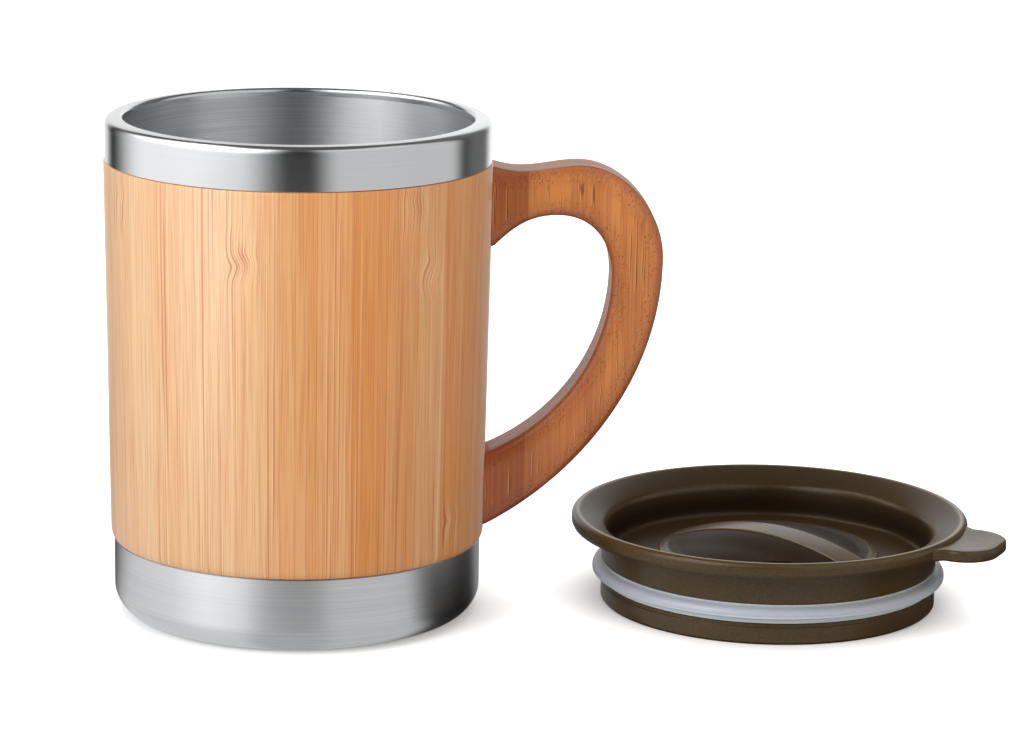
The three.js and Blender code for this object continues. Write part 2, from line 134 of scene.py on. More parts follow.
class MugSizes(bpy.types.PropertyGroup):
    """The sizes of the mug's turned pieces."""

    height: length("Height", "Table to the lip's crest", 110)
    rim_radius: length("Rim radius", "Outside of the steel collar", 42)
    mouth_radius: length("Mouth radius", "Inside of the lip and of the liner's straight part", 38)
    band_height: length("Collar height", "Collar's lower edge to the lip's crest", 9.6)
    band_edge: length("Collar edge", "Chamfer of the collar's lower edge", 0.25)
    lip_fall: length("Lip fall", "Crest down to the lip's outer shoulder", 0.9)
    lip_round: length("Lip round", "Rounding of the lip's outer shoulder", 1.0)
    lip_depth: length("Lip depth", "Crest down to the lip's underside", 1.8)
    wall: length("Steel wall", "Thickness of the steel sheet", 0.8)
    base_height: length("Base height", "Table to the sleeve's lower edge", 17.05)
    base_radius: length("Base radius", "Outside of the steel foot", 40.35)
    base_corner: length("Base corner", "Rounding of the foot's lower edge", 6)
    base_edge: length("Base edge", "Chamfer of the foot's upper edge", 0.4)
    base_neck: length("Base neck", "How far the foot goes up inside the sleeve", 7)
    sleeve_top: length("Sleeve top", "Sleeve's outside radius below the collar", 42.3)
    sleeve_foot: length("Sleeve foot", "Sleeve's outside radius above the foot", 41.05)
    sleeve_edge: length("Sleeve edge", "Rounding of the sleeve's lower edge, across", 0.65)
    sleeve_edge_height: length("Sleeve edge height", "Rounding of the sleeve's lower edge, upwards", 2)
    sleeve_chamfer: length("Sleeve chamfer", "Chamfer of the sleeve's top edge, across", 0.2)
    sleeve_chamfer_height: length("Sleeve chamfer height", "Chamfer of the sleeve's top edge, down", 0.3)
    liner_step: length("Liner step", "How far the liner draws in below its straight part", 2.4)
    liner_straight: length("Liner straight", "Crest down to the liner's shoulder", 16)
    liner_shoulder: length("Liner shoulder", "Height over which the liner draws in", 4)
    liner_floor: length("Liner floor", "Table to the inside of the cup's floor", 8)
    liner_corner: length("Liner corner", "Rounding between the cup's wall and floor", 8)
    liner_flange: length("Liner flange", "How far the liner turns out under the lip", 2.2)
    fit: length("Fit", "Gap of a glued or pressed fit", 0.15)
    sides: IntProperty(name="Sides", description="Facets round a piece of the mug", default=224)


class HandleSizes(bpy.types.PropertyGroup):
    """The sizes of the handle's side outline and section."""

    top: length("Top", "Height of the arm where it meets the sleeve", 99.8)
    foot: length("Foot", "Height of the lower root's lowest point", 19.5)
    reach: length("Reach", "Sleeve to the handle's outermost point", 37.2)
    thickness: length("Thickness", "Across the board", 12)
    edge_face: length("Edge on the face", "How far the rounding runs in over the face", 4.2)
    edge_side: length("Edge on the side", "How far the rounding runs down the side", 1.7)
    grip_width: length("Grip width", "Width of the upright part of the grip", 11.2)
    arm_height: length("Arm height", "Height of the arm at the gap's crown", 11)
    crest_reach: length("Crest reach", "Sleeve to the arm's crest", 18.8)
    crest_rise: length("Crest rise", "How far the crest stands above the arm's root", 0.3)
    arm_dip: length("Arm dip", "Pull of the dip in the arm's top", 2.4)
    upper_root: length("Upper root", "Height of the arm at the sleeve", 17.7)
    lower_root: length("Lower root", "Height of the lower root at the sleeve", 16.4)
    bend_depth: length("Bend depth", "Height of the outer bend", 20.3)
    gap_crown_reach: length("Gap crown reach", "Sleeve to the crown of the finger gap", 14)
    gap_bend_depth: length("Gap bend depth", "Height of the gap's bend", 13.6)
    seat: length("Seat", "Gap between the roots and the sleeve", 0.02)
    strip_start: length("Strip start", "Mug's axis to the first strip of the board", 41)
    strip_width: length("Strip width", "Width of a strip of the board", 8.8)


class LidSizes(bpy.types.PropertyGroup):
    """The sizes of the lid, its gasket and its closure dial."""

    centre_x: length("Lid centre across", "Mug's axis to the lid's axis along the handle", 105.7)
    centre_y: length("Lid centre back", "Mug's axis to the lid's axis, away from the viewer", 5.1)
    plug_radius: length("Plug radius", "Outside of the plug", 37.5)
    plug_wall: length("Plug wall", "Thickness of the plug's wall", 2.2)
    plug_round: length("Plug round", "Rounding of the plug's plain edges", 0.3)
    fine_round: length("Fine round", "Rounding of the plug's steps and grooves", 0.12)
    foot_edge: length("Foot edge", "Chamfer of the plug's lowest edge", 0.5)
    foot_step_height: length("Foot step height", "Table to the thin step in the foot ring", 3.9)
    foot_step: length("Foot step", "How far that step goes in", 0.3)
    groove_low: length("Groove low", "Table to the gasket groove", 4.7)
    groove_height: length("Groove height", "Height of the gasket groove", 4.4)
    groove_depth: length("Groove depth", "Depth of the gasket groove", 1.2)
    dish_floor: length("Dish floor", "Table to the dish floor", 9.5)
    dish_corner: length("Dish corner", "Rounding between the dish's wall and floor", 1.2)
    floor_wall: length("Floor wall", "Thickness of the dish floor", 2.2)
    dish_wall: length("Dish wall", "Thickness of the dish's upright wall", 1.8)
    dish_draft: length("Dish draft", "How far the dish's wall leans out", 0.8)
    flare_start: length("Flare start", "Table to where the plug flares out", 15.2)
    flare_round: length("Flare round", "Rounding under the flare and under the floor", 0.8)
    flange_radius: length("Flange radius", "Outside of the brim", 44.3)
    flange_bottom: length("Flange bottom", "Table to the brim's underside", 16.8)
    flange_top: length("Flange top", "Table to the brim's crest", 20)
    flange_edge: length("Flange edge", "Height of the brim's lower chamfer", 0.7)
    flange_low_round: length("Flange low round", "Rounding below that chamfer", 0.25)
    flange_high_round: length("Flange high round", "Rounding above that chamfer", 0.5)
    brim_depth: length("Brim depth", "How far the brim slopes down to the dish's wall", 3.3)
    brim_round_width: length("Brim round width", "Brim's edge in to its crest", 1.3)
    brim_round_height: length("Brim round height", "Brim's crest down to the end of its rounding", 1.2)
    slope_round: length("Slope round", "Rounding between the brim's slope and the dish's wall", 2.4)
    tab_angle: degrees("Tab angle", "Direction of the thumb tab", -28)
    tab_reach: length("Tab reach", "How far the tab stands out of the brim", 10.2)
    tab_width: length("Tab width", "Width of the tab", 20.4)
    tab_round: length("Tab round", "Rounding of the tab's end", 8)
    tab_thickness: length("Tab thickness", "Thickness of the tab", 2.6)
    tab_edge: length("Tab edge", "Rounding of the tab's upper and lower edges", 0.7)
    tab_dip: length("Tab dip", "How far the tab's top is dished", 0.35)
    tab_root: length("Tab root", "How far the tab's root lies inside the brim", 3.5)
    tab_flare: length("Tab flare", "How far the root is wider than the tab on each side", 3)
    tab_clear: length("Tab clear", "Brim's edge out to where that flare ends", 0.4)
    mouth_squeeze: length("Gasket squeeze", "How far the gasket's skirt stands past the mouth", 1.6)
    gasket_skirt: length("Gasket skirt", "Thickness of the gasket's skirt", 0.7)
    gasket_drop: length("Gasket drop", "How far the skirt droops", 2.65)
    dial_angle: degrees("Dial angle", "Direction of the dial's grip bar", -38)
    dial_turn: degrees("Dial turn", "Closed to open", 90)
    dial_radius: length("Dial radius", "Outside of the closure dial", 24.6)
    dial_gap: length("Dial gap", "Running gap under the dial", 0.3)
    dial_edge: length("Dial edge", "Height of the dial's upright edge", 1.4)
    dial_round: length("Dial round", "Rounding of the dial's upper edge", 0.4)
    dial_crown: length("Dial crown", "How far the dial's middle stands above its edge", 5)
    bar_width: length("Bar width", "Width of the grip bar between the two scoops", 7.4)
    scoop_rim: length("Scoop rim", "Width of the dial's rim outside a scoop", 1.4)
    scoop_depth: length("Scoop depth", "How far a scoop lies below the dial's dome", 0.7)
    scoop_step: length("Scoop step", "Width of the step down beside the bar", 0.25)
    scoop_fall: length("Scoop fall", "Width over which a scoop deepens", 9)
    scoop_ease: length("Scoop ease", "Width over which a scoop comes up to the rim", 3.2)
    port_distance: length("Port distance", "Dial's axis to the middle of the sip port", 18.4)
    port_angle: degrees("Port angle", "Turn of the sip port from the middle of its scoop", 38)
    port_length: length("Port length", "Length of the sip port", 9)
    port_width: length("Port width", "Width of the sip port", 4.6)
    stem_radius: length("Stem radius", "Radius of the dial's stem", 3)
    stem_end: length("Stem end", "Table to the stem's lower end", 3.4)
    stem_edge: length("Stem edge", "Chamfer of the stem's lower end", 0.4)
    stem_hold: length("Stem hold", "How far the stem goes up into the dial", 0.4)
    seal_radius: length("Seal radius", "Outside of the ring under the dial", 23.6)
    seal_width: length("Seal width", "Width of the ring under the dial", 1.6)
    seal_height: length("Seal height", "Depth of the ring's groove in the dial", 0.9)
    clip_grip: length("Clip grip", "Depth of the stem's groove", 0.7)
    clip_thickness: length("Clip thickness", "Thickness of the washer in that groove", 1)
    sides: IntProperty(name="Sides", description="Facets round the lid and its gasket", default=256)


class Finishes(bpy.types.PropertyGroup):
    """The colours of the mug and lid."""

    sleeve_pale: colour("Sleeve pale", "Pale bamboo between the fibres", 240, 196, 146)
    sleeve_warm: colour("Sleeve warm", "The warmer strips of the sleeve", 220, 136, 44)
    sleeve_fibre: colour("Sleeve fibre", "Orange-brown fibre lines of the sleeve", 188, 86, 22)
    # Painted highlight: the pale line beside the sleeve's dark fibre lines
    sleeve_painted_glint: colour("Sleeve glint", "Pale edges beside the fibre lines", 250, 214, 164)
    handle_mid: colour("Handle mid", "Carbonised bamboo of the handle", 238, 154, 84)
    # Painted highlight beside the handle's dark streaks
    handle_painted_glint: colour("Handle pale", "Pale streaks of the handle", 244, 178, 110)
    handle_dark: colour("Handle dark", "Darkest strips of the handle", 138, 58, 26)
    handle_pore: colour("Handle pore", "Fibre ends and pores of the handle", 96, 40, 20)
    handle_side: colour("Handle side", "Sawn sides of the handle's board", 108, 64, 54)
    steel: colour("Steel", "Bare stainless steel", 214, 215, 216)
    steel_dull: colour("Steel dull", "Steel in the grooves of its brushing", 174, 175, 177)
    plastic: colour("Plastic", "Dark brown moulded plastic", 60, 44, 19)
    plastic_grain: colour("Plastic grain", "Raised grain of the plastic", 74, 56, 29)
    # Painted highlight: the pale line along the lid's crest and the dial's grip bar
    plastic_edge_glint: colour("Plastic edge", "Plastic worn bright along its edges", 138, 120, 94)
    plastic_gloss: colour("Plastic gloss", "Tint of the light that the plastic reflects", 255, 220, 168)
    # Painted shade: the near-black mixed into the lid's dish and brim slope and the dial's scoops
    plastic_painted_shade: colour("Plastic dish", "Plastic inside the dish and scoops", 18, 8, 5)
    silicone: colour("Silicone", "Translucent silicone", 198, 207, 222)
    # Painted highlight along the gasket's edges
    silicone_painted_glint: colour("Silicone edge", "Thin edges of the silicone", 244, 247, 250)
    strip_count: IntProperty(name="Strips", description="Glued strips round the sleeve", default=34)


class Studio(bpy.types.PropertyGroup):
    """The floor, light and camera."""

    camera_distance: length("Camera distance", "Mug's axis to the camera along the floor", 839.95)
    camera_height: length("Camera height", "Table to the camera", 245.26)
    camera_yaw: degrees("Camera yaw", "Turn of the view to the right", 3.208)
    camera_pitch: degrees("Camera pitch", "Fall of the view", 12.817)
    camera_roll: degrees("Camera roll", "Tilt of the view", 0.915)
    focal_widths: share("Focal length", "Focal length in picture widths", FOCAL_PIXELS / PICTURE_WIDTH)
    ambient: share("Ambient light", "Light from all round", 0.30)
    key_power: watts("Key light", "Power of the left softbox", 13)
    fill_power: watts("Fill light", "Power of the right softbox", 6)
    top_power: watts("Top light", "Power of the overhead softbox", 6.5)
    key_colour: colour("Key colour", "Colour of the left and overhead softboxes", 250, 254, 255)
    fill_colour: colour("Fill colour", "Colour of the right softbox", 255, 244, 230)
    floor_tone: share("Floor tone", "How much of the lamps' light the floor gives back", 0.42)
    floor_shown: share("Floor shown", "The same where the floor is seen", 0.95)
    floor_glow: share("Floor glow", "How much of the floor's white is its own near the mug", 0.62)
    floor_drop: length("Floor drop", "Gap between the floor and what stands on it", 0.01)
    contact: length("Contact shadow", "How far the shadow of what stands on the floor reaches", 11)
    backdrop: share("Backdrop", "Brightness of the backdrop in reflections", 0.95)
    roof: share("Roof", "Brightness of the roof in reflections", 0.10)
    dark: share("Dark cards", "Brightness of the dark stretches in reflections", 0.03)
    tent_radius: length("Surround radius", "Mug's axis to the surround's wall", 700)
    tent_height: length("Surround height", "Table to the surround's roof", 900)
    tent_drop: length("Surround drop", "Table down to the surround's floor", 20)


# Surfaces


def eased(along):
    """0 below 0, 1 above 1, and between them 3 t squared less 2 t cubed."""
    along = np.clip(along, 0, 1)
    return along * along * (3 - 2 * along)


def part(low, high, along):
    """The value that lies a share of the way from low to high."""
    return low + (high - low) * along


def arc(centre, half_widths, angles, steps=12):
    """Points of an ellipse: centre plus each half width times the cosine and sine of the angle, in degrees.
    One half width alone gives a circle."""
    turn = np.radians(np.linspace(*angles, steps + 1))
    across, up = np.broadcast_to(half_widths, 2)
    return np.column_stack([centre[0] + across * np.cos(turn), centre[1] + up * np.sin(turn)])


def bezier(points, steps):
    """A cubic curve: four points, each times its Bernstein weight."""
    t = np.linspace(0, 1, steps + 1)[:, None]
    weights = np.hstack([(1 - t) ** 3, 3 * t * (1 - t) ** 2, 3 * t**2 * (1 - t), t**3])
    return weights @ np.asarray(points)


def softened(corners, steps=6):
    """A closed outline of (x, y, radius) corners, each cut back along both sides by the radius times the
    tangent of half its turn, and rounded with an arc drawn as a rational quadratic curve."""
    corners = np.asarray(corners, float)
    here, radius = corners[:, :2], corners[:, 2:]
    before = np.roll(here, 1, axis=0) - here
    after = np.roll(here, -1, axis=0) - here
    before_length = np.linalg.norm(before, axis=1, keepdims=True)
    after_length = np.linalg.norm(after, axis=1, keepdims=True)
    before, after = before / before_length, after / after_length
    cosine = np.clip((before * after).sum(1, keepdims=True), -0.9999, 0.9999)
    half_turn = (math.pi - np.arccos(cosine)) / 2
    back = np.minimum(radius * np.tan(half_turn), 0.49 * np.minimum(before_length, after_length))
    t = np.linspace(0, 1, steps + 1)[None, :, None]
    weight = np.cos(half_turn)[:, None, :]
    start, middle, end = (p[:, None, :] for p in (here + before * back, here, here + after * back))
    top = (1 - t) ** 2 * start + 2 * t * (1 - t) * weight * middle + t**2 * end
    curve = top / ((1 - t) ** 2 + 2 * t * (1 - t) * weight + t**2)
    kept = np.ones(curve.shape[:2], bool)
    kept[back[:, 0] < TINY, 1:] = False
    return curve[kept]


def grid_faces(rows, columns, rows_close=True, columns_close=True):
    """Four-cornered faces of a grid of points laid row by row, closing on itself where asked."""
    row, column = np.meshgrid(
        np.arange(rows if rows_close else rows - 1),
        np.arange(columns if columns_close else columns - 1),
        indexing="ij",
    )
    next_row, next_column = (row + 1) % rows, (column + 1) % columns
    corners = [row * columns + column, row * columns + next_column]
    corners += [next_row * columns + next_column, next_row * columns + column]
    return np.stack(corners, axis=-1).reshape(-1, 4)


def tube(grid, poles):
    """A grid of points whose rows go round a tube, with a fan of three-cornered faces from its first and
    its last row to two poles."""
    rows, columns = grid.shape[:2]
    here = np.arange(columns)
    first, last = rows * columns, rows * columns + 1
    caps = [
        np.column_stack([ring, np.roll(ring, -1), np.full(columns, pole)])
        for ring, pole in ((here[::-1], first), (here + (rows - 1) * columns, last))
    ]
    walls = grid_faces(rows, columns, rows_close=False)
    return np.concatenate([grid.reshape(-1, 3), poles]), [walls, *caps]


def turned(profile, sides, centre=(0.0, 0.0)):
    """A profile of (radius, height) carried round an upright axis: each point goes to
    (radius cos a, radius sin a, height). A profile that starts and ends on the axis closes in a pole there;
    any other closes on itself. The outside of the profile goes up."""
    profile = np.asarray(profile, float)
    on_axis = profile[0, 0] < TINY
    rings = profile[1:-1] if on_axis else profile
    angle = np.linspace(0, TURN, sides, endpoint=False)
    radius, height = rings[:, :1], rings[:, 1:]
    x, y = centre[0] + radius * np.cos(angle), centre[1] + radius * np.sin(angle)
    grid = np.stack([x, y, np.broadcast_to(height, x.shape)], axis=-1)
    if on_axis:
        return tube(grid, [[*centre, profile[0, 1]], [*centre, profile[-1, 1]]])
    return grid.reshape(-1, 3), [grid_faces(len(rings), sides)]


def turned_about(points, angle, centre):
    """Points turned about the upright axis and moved to a centre."""
    cosine, sine = math.cos(angle), math.sin(angle)
    spin = np.array([[cosine, sine, 0], [-sine, cosine, 0], [0, 0, 1]])
    return points @ spin + [centre[0], centre[1], 0]


def together(*shells):
    """Several closed shells as the points and faces of one mesh."""
    points, faces, count = [], [], 0
    for shell_points, shell_faces in shells:
        points.append(shell_points)
        faces += [group + count for group in shell_faces]
        count += len(shell_points)
    return np.concatenate(points), faces


def smoothed(mesh, crease):
    """Shades a mesh smooth, but for its edges past an angle."""
    mesh.shade_smooth()
    mesh.set_sharp_from_angle(angle=math.radians(crease))


def put(name, shell, crease=CREASE):
    """Puts points and faces into a mesh object at the origin."""
    points, groups = shell
    mesh = bpy.data.meshes.new(name)
    corners = np.concatenate([group.ravel() for group in groups])
    counts = np.concatenate([np.full(len(group), group.shape[1]) for group in groups])
    starts = np.concatenate([[0], np.cumsum(counts)[:-1]])
    mesh.vertices.add(len(points))
    mesh.vertices.foreach_set("co", points.astype(np.float32).ravel())
    mesh.loops.add(len(corners))
    mesh.loops.foreach_set("vertex_index", corners.astype(np.int32))
    mesh.polygons.add(len(counts))
    mesh.polygons.foreach_set("loop_start", starts.astype(np.int32))
    mesh.update(calc_edges=True)
    if mesh.validate():
        raise RuntimeError(f"{name} has faulty faces")
    smoothed(mesh, crease)
    piece = bpy.data.objects.new(name, mesh)
    bpy.context.scene.collection.objects.link(piece)
    return piece


def cut(piece, shell, crease):
    """Takes a closed shell out of a piece, so that the result is again one plain mesh."""
    cutter = put("cutter", shell)
    boolean = piece.modifiers.new("cut", "BOOLEAN")
    boolean.operation = "DIFFERENCE"
    boolean.solver = "EXACT"
    boolean.object = cutter
    whole = piece.data
    bpy.context.view_layer.update()
    evaluated = piece.evaluated_get(bpy.context.evaluated_depsgraph_get())
    piece.data = bpy.data.meshes.new_from_object(evaluated)
    piece.modifiers.clear()
    piece.data.name = piece.name
    smoothed(piece.data, crease)
    bpy.data.meshes.remove(whole)
    bpy.data.meshes.remove(cutter.data)


def dress(piece, material, body, slot, *nodes):
    """Gives a piece its finish, its body and the nodes that it stands for; the record's slot is not used.
    """
    piece.data.materials.clear()
    piece.data.materials.append(material)
    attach(piece, body)
    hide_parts(*nodes)


# Finishes


class Shade:
    """A socket in a finish's nodes. Arithmetic on it adds Math nodes."""

    def __init__(self, tree, socket=None):
        self.tree = tree
        self.socket = socket

    def feed(self, node, inputs):
        """Gives the sockets of a node their values or links."""
        for key, value in inputs.items():
            if isinstance(value, Shade):
                self.tree.links.new(value.socket, node.inputs[key])
            else:
                node.inputs[key].default_value = value

    def node(self, kind, settings=None, inputs=None, output=0):
        """Adds a node: its settings first, then the values or links of its sockets."""
        made = self.tree.nodes.new("ShaderNode" + kind)
        for key, value in (settings or {}).items():
            setattr(made, key, value)
        self.feed(made, inputs or {})
        return Shade(self.tree, made.outputs[output])

    def out(self, name):
        """Another output of the same node."""
        return Shade(self.tree, self.socket.node.outputs[name])

    def maths(self, operation, *values, clamp=False):
        """Maths on values or sockets."""
        settings = {"operation": operation, "use_clamp": clamp}
        return self.node("Math", settings, dict(enumerate(values)))

    def __add__(self, other):
        return self.maths("ADD", self, other)

    def __radd__(self, other):
        return self.maths("ADD", other, self)

    def __sub__(self, other):
        return self.maths("SUBTRACT", self, other)

    def __rsub__(self, other):
        return self.maths("SUBTRACT", other, self)

    def __mul__(self, other):
        return self.maths("MULTIPLY", self, other)

    def __rmul__(self, other):
        return self.maths("MULTIPLY", other, self)

    def __truediv__(self, other):
        return self.maths("DIVIDE", self, other)

    def __rtruediv__(self, other):
        return self.maths("DIVIDE", other, self)

    def __abs__(self):
        return self.maths("ABSOLUTE", self)

    def held(self):
        """This value held to 0 and 1."""
        return self.maths("ADD", self, 0, clamp=True)

    def between(self, low, high):
        """How far this value has come from low to high, smoothed and held to 0 and 1."""
        settings = {"interpolation_type": "SMOOTHSTEP"}
        return self.node("MapRange", settings, {"Value": self, "From Min": low, "From Max": high})

    def stretch(self, rise, fall):
        """1 from the end of a rise to the start of a fall, smoothed over both, and 0 outside them."""
        return self.between(*rise) * (1 - self.between(*fall))

    def mix(self, low, high):
        """The colour low where this value is 0, and high where it is 1."""
        return self.node("Mix", {"data_type": "RGBA"}, {0: self, 6: low, 7: high}, output=2)

    def chance(self, seed):
        """A number from 0 to 1 drawn for each whole value of this socket."""
        settings = {"noise_dimensions": "1D"}
        return self.node("TexWhiteNoise", settings, {"W": self + seed}, output="Value")

    def vector(self, operation, *others, output=0):
        """Vector maths on this vector and others."""
        return self.node("VectorMath", {"operation": operation}, dict(enumerate((self, *others))), output)

    def scaled(self, x, y, z):
        """This vector with its parts scaled. Noise on it is drawn out along a part that is made small."""
        return self.vector("MULTIPLY", (x, y, z))

    def parts(self):
        """This vector's three parts."""
        split = self.node("SeparateXYZ", {}, {"Vector": self})
        return [split.out(axis) for axis in "XYZ"]

    def reach(self):
        """This place's distance from the upright axis."""
        return self.scaled(1, 1, 0).vector("LENGTH", output="Value")

    def noise(self, scale, detail=2.0, roughness=0.5):
        """Cloudy noise on this vector, from 0 to 1, with scale features to the metre."""
        inputs = {"Vector": self, "Scale": scale, "Detail": detail, "Roughness": roughness}
        return self.node("TexNoise", {}, inputs)


def wired(owner, kind):
    """The first Shade of a new material or world, and its own node of a kind."""
    owner.use_nodes = True
    tree = owner.node_tree
    return Shade(tree), next(node for node in tree.nodes if node.type == kind)


def finish(name, paint, kind="BSDF_PRINCIPLED"):
    """A new material: paint gets its first Shade and returns what feeds its node of a kind."""
    material = bpy.data.materials.new(name)
    shade, node = wired(material, kind)
    shade.feed(node, paint(shade))
    return material


def place_of(shade, centre=(0.0, 0.0, 0.0)):
    """Object coordinates, counted from a centre."""
    return shade.node("TexCoord", output="Object").vector("SUBTRACT", centre)


def bumped(shade, height, distance, strength):
    """A normal raised by a height from 0 to 1, which stands for a distance."""
    return shade.node("Bump", {}, {"Strength": strength, "Distance": distance, "Height": height})


def knots_at(turn, height):
    """How strongly the sleeve's nodes show: for each, e to the power of less the sum of the squares of the
    turn and the height from it, both in shares of its spread."""
    strength = 0.0
    for knot_turn, knot_height in KNOTS:
        aside = (turn - math.radians(knot_turn)) / KNOT_SPREAD
        above = (height - knot_height * MM) / KNOT_TALL
        strength = strength + turn.maths("EXPONENT", 0 - (aside * aside + above * above))
    return strength


def sleeve_bamboo(colours):
    """Glued upright strips, each with its own tone, long fine fibres and here and there a node's swirl.
    Painted sheen pales the strips towards the left front, painted shade warms them towards the right, and a
    painted highlight runs beside each dark fibre.
    """

    def paint(shade):
        place = place_of(shade)
        across, back, height = place.parts()
        turn = shade.maths("ARCTAN2", back, across)
        round_it = turn * (colours.strip_count / TURN)
        strip = shade.maths("FLOOR", round_it)
        knot = knots_at(turn, height)
        swayed = turn + (place.scaled(0.3, 0.3, 1).noise(150, 1) - 0.5) * knot * KNOT_SWAY
        x = shade.maths("COSINE", swayed) * SLEEVE_MIDDLE
        y = shade.maths("SINE", swayed) * SLEEVE_MIDDLE
        bent = shade.node("CombineXYZ", {}, {"X": x, "Y": y, "Z": height})

        dense = bent.scaled(1, 1, 0.012).noise(210, 2, 0.6).between(0.36, 0.56)
        most = dense * (0.35 + 0.65 * strip.chance(12.5)) + knot

        def lines_on(where):
            lines = where.scaled(1, 1, 0.004).noise(2500, 2, 0.55)
            return ((lines + 0.07 * knot).between(0.565, 0.635) * most).held()

        hair = bent.scaled(1, 1, 0.008).noise(5200, 2, 0.6)
        drift = bent.scaled(1, 1, 0.05).noise(150, 3, 0.6)
        bold = lines_on(bent)
        # Painted highlight: a pale line just beside each dark fibre line, where its relief would catch the
        # light
        painted_fibre_glint = lines_on(bent.vector("ADD", GLINT_OFFSET)) * (1 - bold)
        seam = abs(round_it - strip - 0.5).between(0.486, 0.5)
        # Painted sheen and shade: the strips turn paler towards the left front, where the key light falls,
        # and warmer towards the right
        lean = shade.maths("SINE", turn + math.radians(60)).between(-0.95, -0.25)
        tone = (0.5 * strip.chance(0.5) + 0.9 * (drift - 0.5) + 0.55 * lean - 0.12).held()

        ground = tone.mix(colours.sleeve_pale, colours.sleeve_warm)
        haired = (hair.between(0.44, 0.66) * 0.42).mix(ground, colours.sleeve_fibre)
        glinted = (painted_fibre_glint * 0.55).mix(haired, colours.sleeve_painted_glint)
        lined = (bold * 0.72).mix(glinted, colours.sleeve_fibre)
        seamed = (seam * (0.2 + 0.5 * strip.chance(7.5))).mix(lined, colours.sleeve_fibre)
        knotted = (knot * 0.3 * (1 - bold)).mix(seamed, colours.sleeve_pale)
        relief = 1 - (hair * 0.4 + bold * 0.5 + seam * 0.4)
        return {
            "Base Color": knotted,
            "Roughness": 0.42 + 0.12 * hair,
            "Normal": bumped(shade, relief, 0.12 * MM, 0.5),
            "Specular IOR Level": 0.2,
            "Coat Weight": 1.0,
            "Coat IOR": 1.55,
            "Coat Roughness": 0.38,
            "Sheen Weight": 0.22,
            "Sheen Roughness": 0.45,
        }

    return finish("sleeve_bamboo", paint)


def handle_bamboo(colours, handle):
    """Carbonised board: upright fibres that show as streaks on the face, as dots along its border where the
    rounding cuts them, and as fine layers along the sides. A painted highlight runs beside each dark
    streak, and painted shade darkens the face over its rounded edges."""

    def paint(shade):
        place = place_of(shade)
        across, _, height = place.parts()
        inset = shade.node("Attribute", {"attribute_name": "inset"}, output="Fac")
        border = 1 - inset.between(2.8 * MM, 5.0 * MM)
        edge = 1 - inset.between(0.4 * MM, 2.6 * MM)
        side = 1 - inset.between(0.02 * MM, 0.3 * MM)
        low = 1 - height.between(30 * MM, 66 * MM)
        strip = shade.maths("FLOOR", (across - handle.strip_start) / handle.strip_width)
        root = 1 - strip.between(0.2, 0.8)

        def streaks_on(where):
            return where.scaled(1, 1, 0.034).noise(1900, 1, 0.5).between(0.655, 0.69) * (1 - border)

        fine = place.scaled(1, 1, 0.015).noise(2600, 3, 0.65)
        drift = place.scaled(1, 1, 0.10).noise(130, 3, 0.6)
        layers = place.scaled(0.03, 1, 0.03).noise(2300, 2, 0.6)
        dark_streak = streaks_on(place)
        # Painted highlight: a pale streak just beside each dark one
        painted_streak_glint = streaks_on(place.vector("ADD", GLINT_OFFSET)) * (1 - dark_streak)
        cells = {"Vector": place.scaled(1, 1, 0.55), "Scale": 2100.0, "Randomness": 1.0}
        bundle = shade.node("TexVoronoi", {"feature": "F1"}, cells, output="Distance")
        crowd = place.noise(420, 2).between(0.30, 0.55)
        dot = (1 - bundle.between(0.20, 0.34)) * crowd * border * (1 - side)
        tone = (0.26 * strip.chance(3.5) + 0.9 * (drift - 0.5) + 0.26 * low).held()

        ground = tone.mix(colours.handle_mid, colours.handle_dark)
        rooted = (root * 0.6).mix(ground, colours.handle_dark)
        lined = (fine.between(0.42, 0.70) * 0.36).mix(rooted, colours.handle_dark)
        # Painted shade over the rounded edges, darkest along the rim
        edge_shaded = (border * 0.16 + edge * 0.44).mix(lined, colours.handle_dark)
        pale = (painted_streak_glint * 0.55).mix(edge_shaded, colours.handle_painted_glint)
        dotted = (dot * 0.6 + dark_streak * 0.62).mix(pale, colours.handle_pore)
        sawn = (layers.between(0.34, 0.66) * 0.4).mix(colours.handle_side, colours.handle_mid)
        return {
            "Base Color": side.mix(dotted, sawn),
            "Roughness": 0.34 + 0.14 * fine,
            "Normal": bumped(shade, 1 - (fine * 0.4 + dot * 0.6), 0.12 * MM, 0.45),
            "Specular IOR Level": 0.35,
            "Coat Weight": 0.55 * (1 - 0.85 * side),
            "Coat Roughness": 0.2,
        }

    return finish("handle_bamboo", paint)


def brushed_steel(colours, name, roughness, spread, grain):
    """Steel brushed round the mug: fine rings across which the reflections are drawn out."""

    def paint(shade):
        place = place_of(shade)
        across, back, height = place.parts()
        along = (across + back) * 0.004
        rings = shade.node("CombineXYZ", {}, {"X": place.reach(), "Y": height, "Z": along})
        brush = rings.noise(5200, 3, 0.65)
        cloud = place.noise(45, 2)
        dull_and_shade = 2.2 * grain * brush.between(0.35, 0.75)
        return {
            "Base Color": dull_and_shade.mix(colours.steel, colours.steel_dull),
            "Metallic": 1.0,
            "Roughness": roughness + (brush - 0.5) * grain + (cloud - 0.5) * 0.10,
            "Anisotropic": spread,
            "Anisotropic Rotation": 0.25,
            "Normal": bumped(shade, brush, 0.02 * MM, grain),
        }

    return finish(name, paint)


def zinc_steel(colours):
    """Plain plated steel for the hidden screws and washer."""

    def paint(shade):
        cloud = place_of(shade).noise(900, 3)
        return {
            "Base Color": cloud.mix(colours.steel, ZINC_DULL),
            "Metallic": 1.0,
            "Roughness": 0.30 + 0.2 * cloud,
        }

    return finish("zinc_steel", paint)


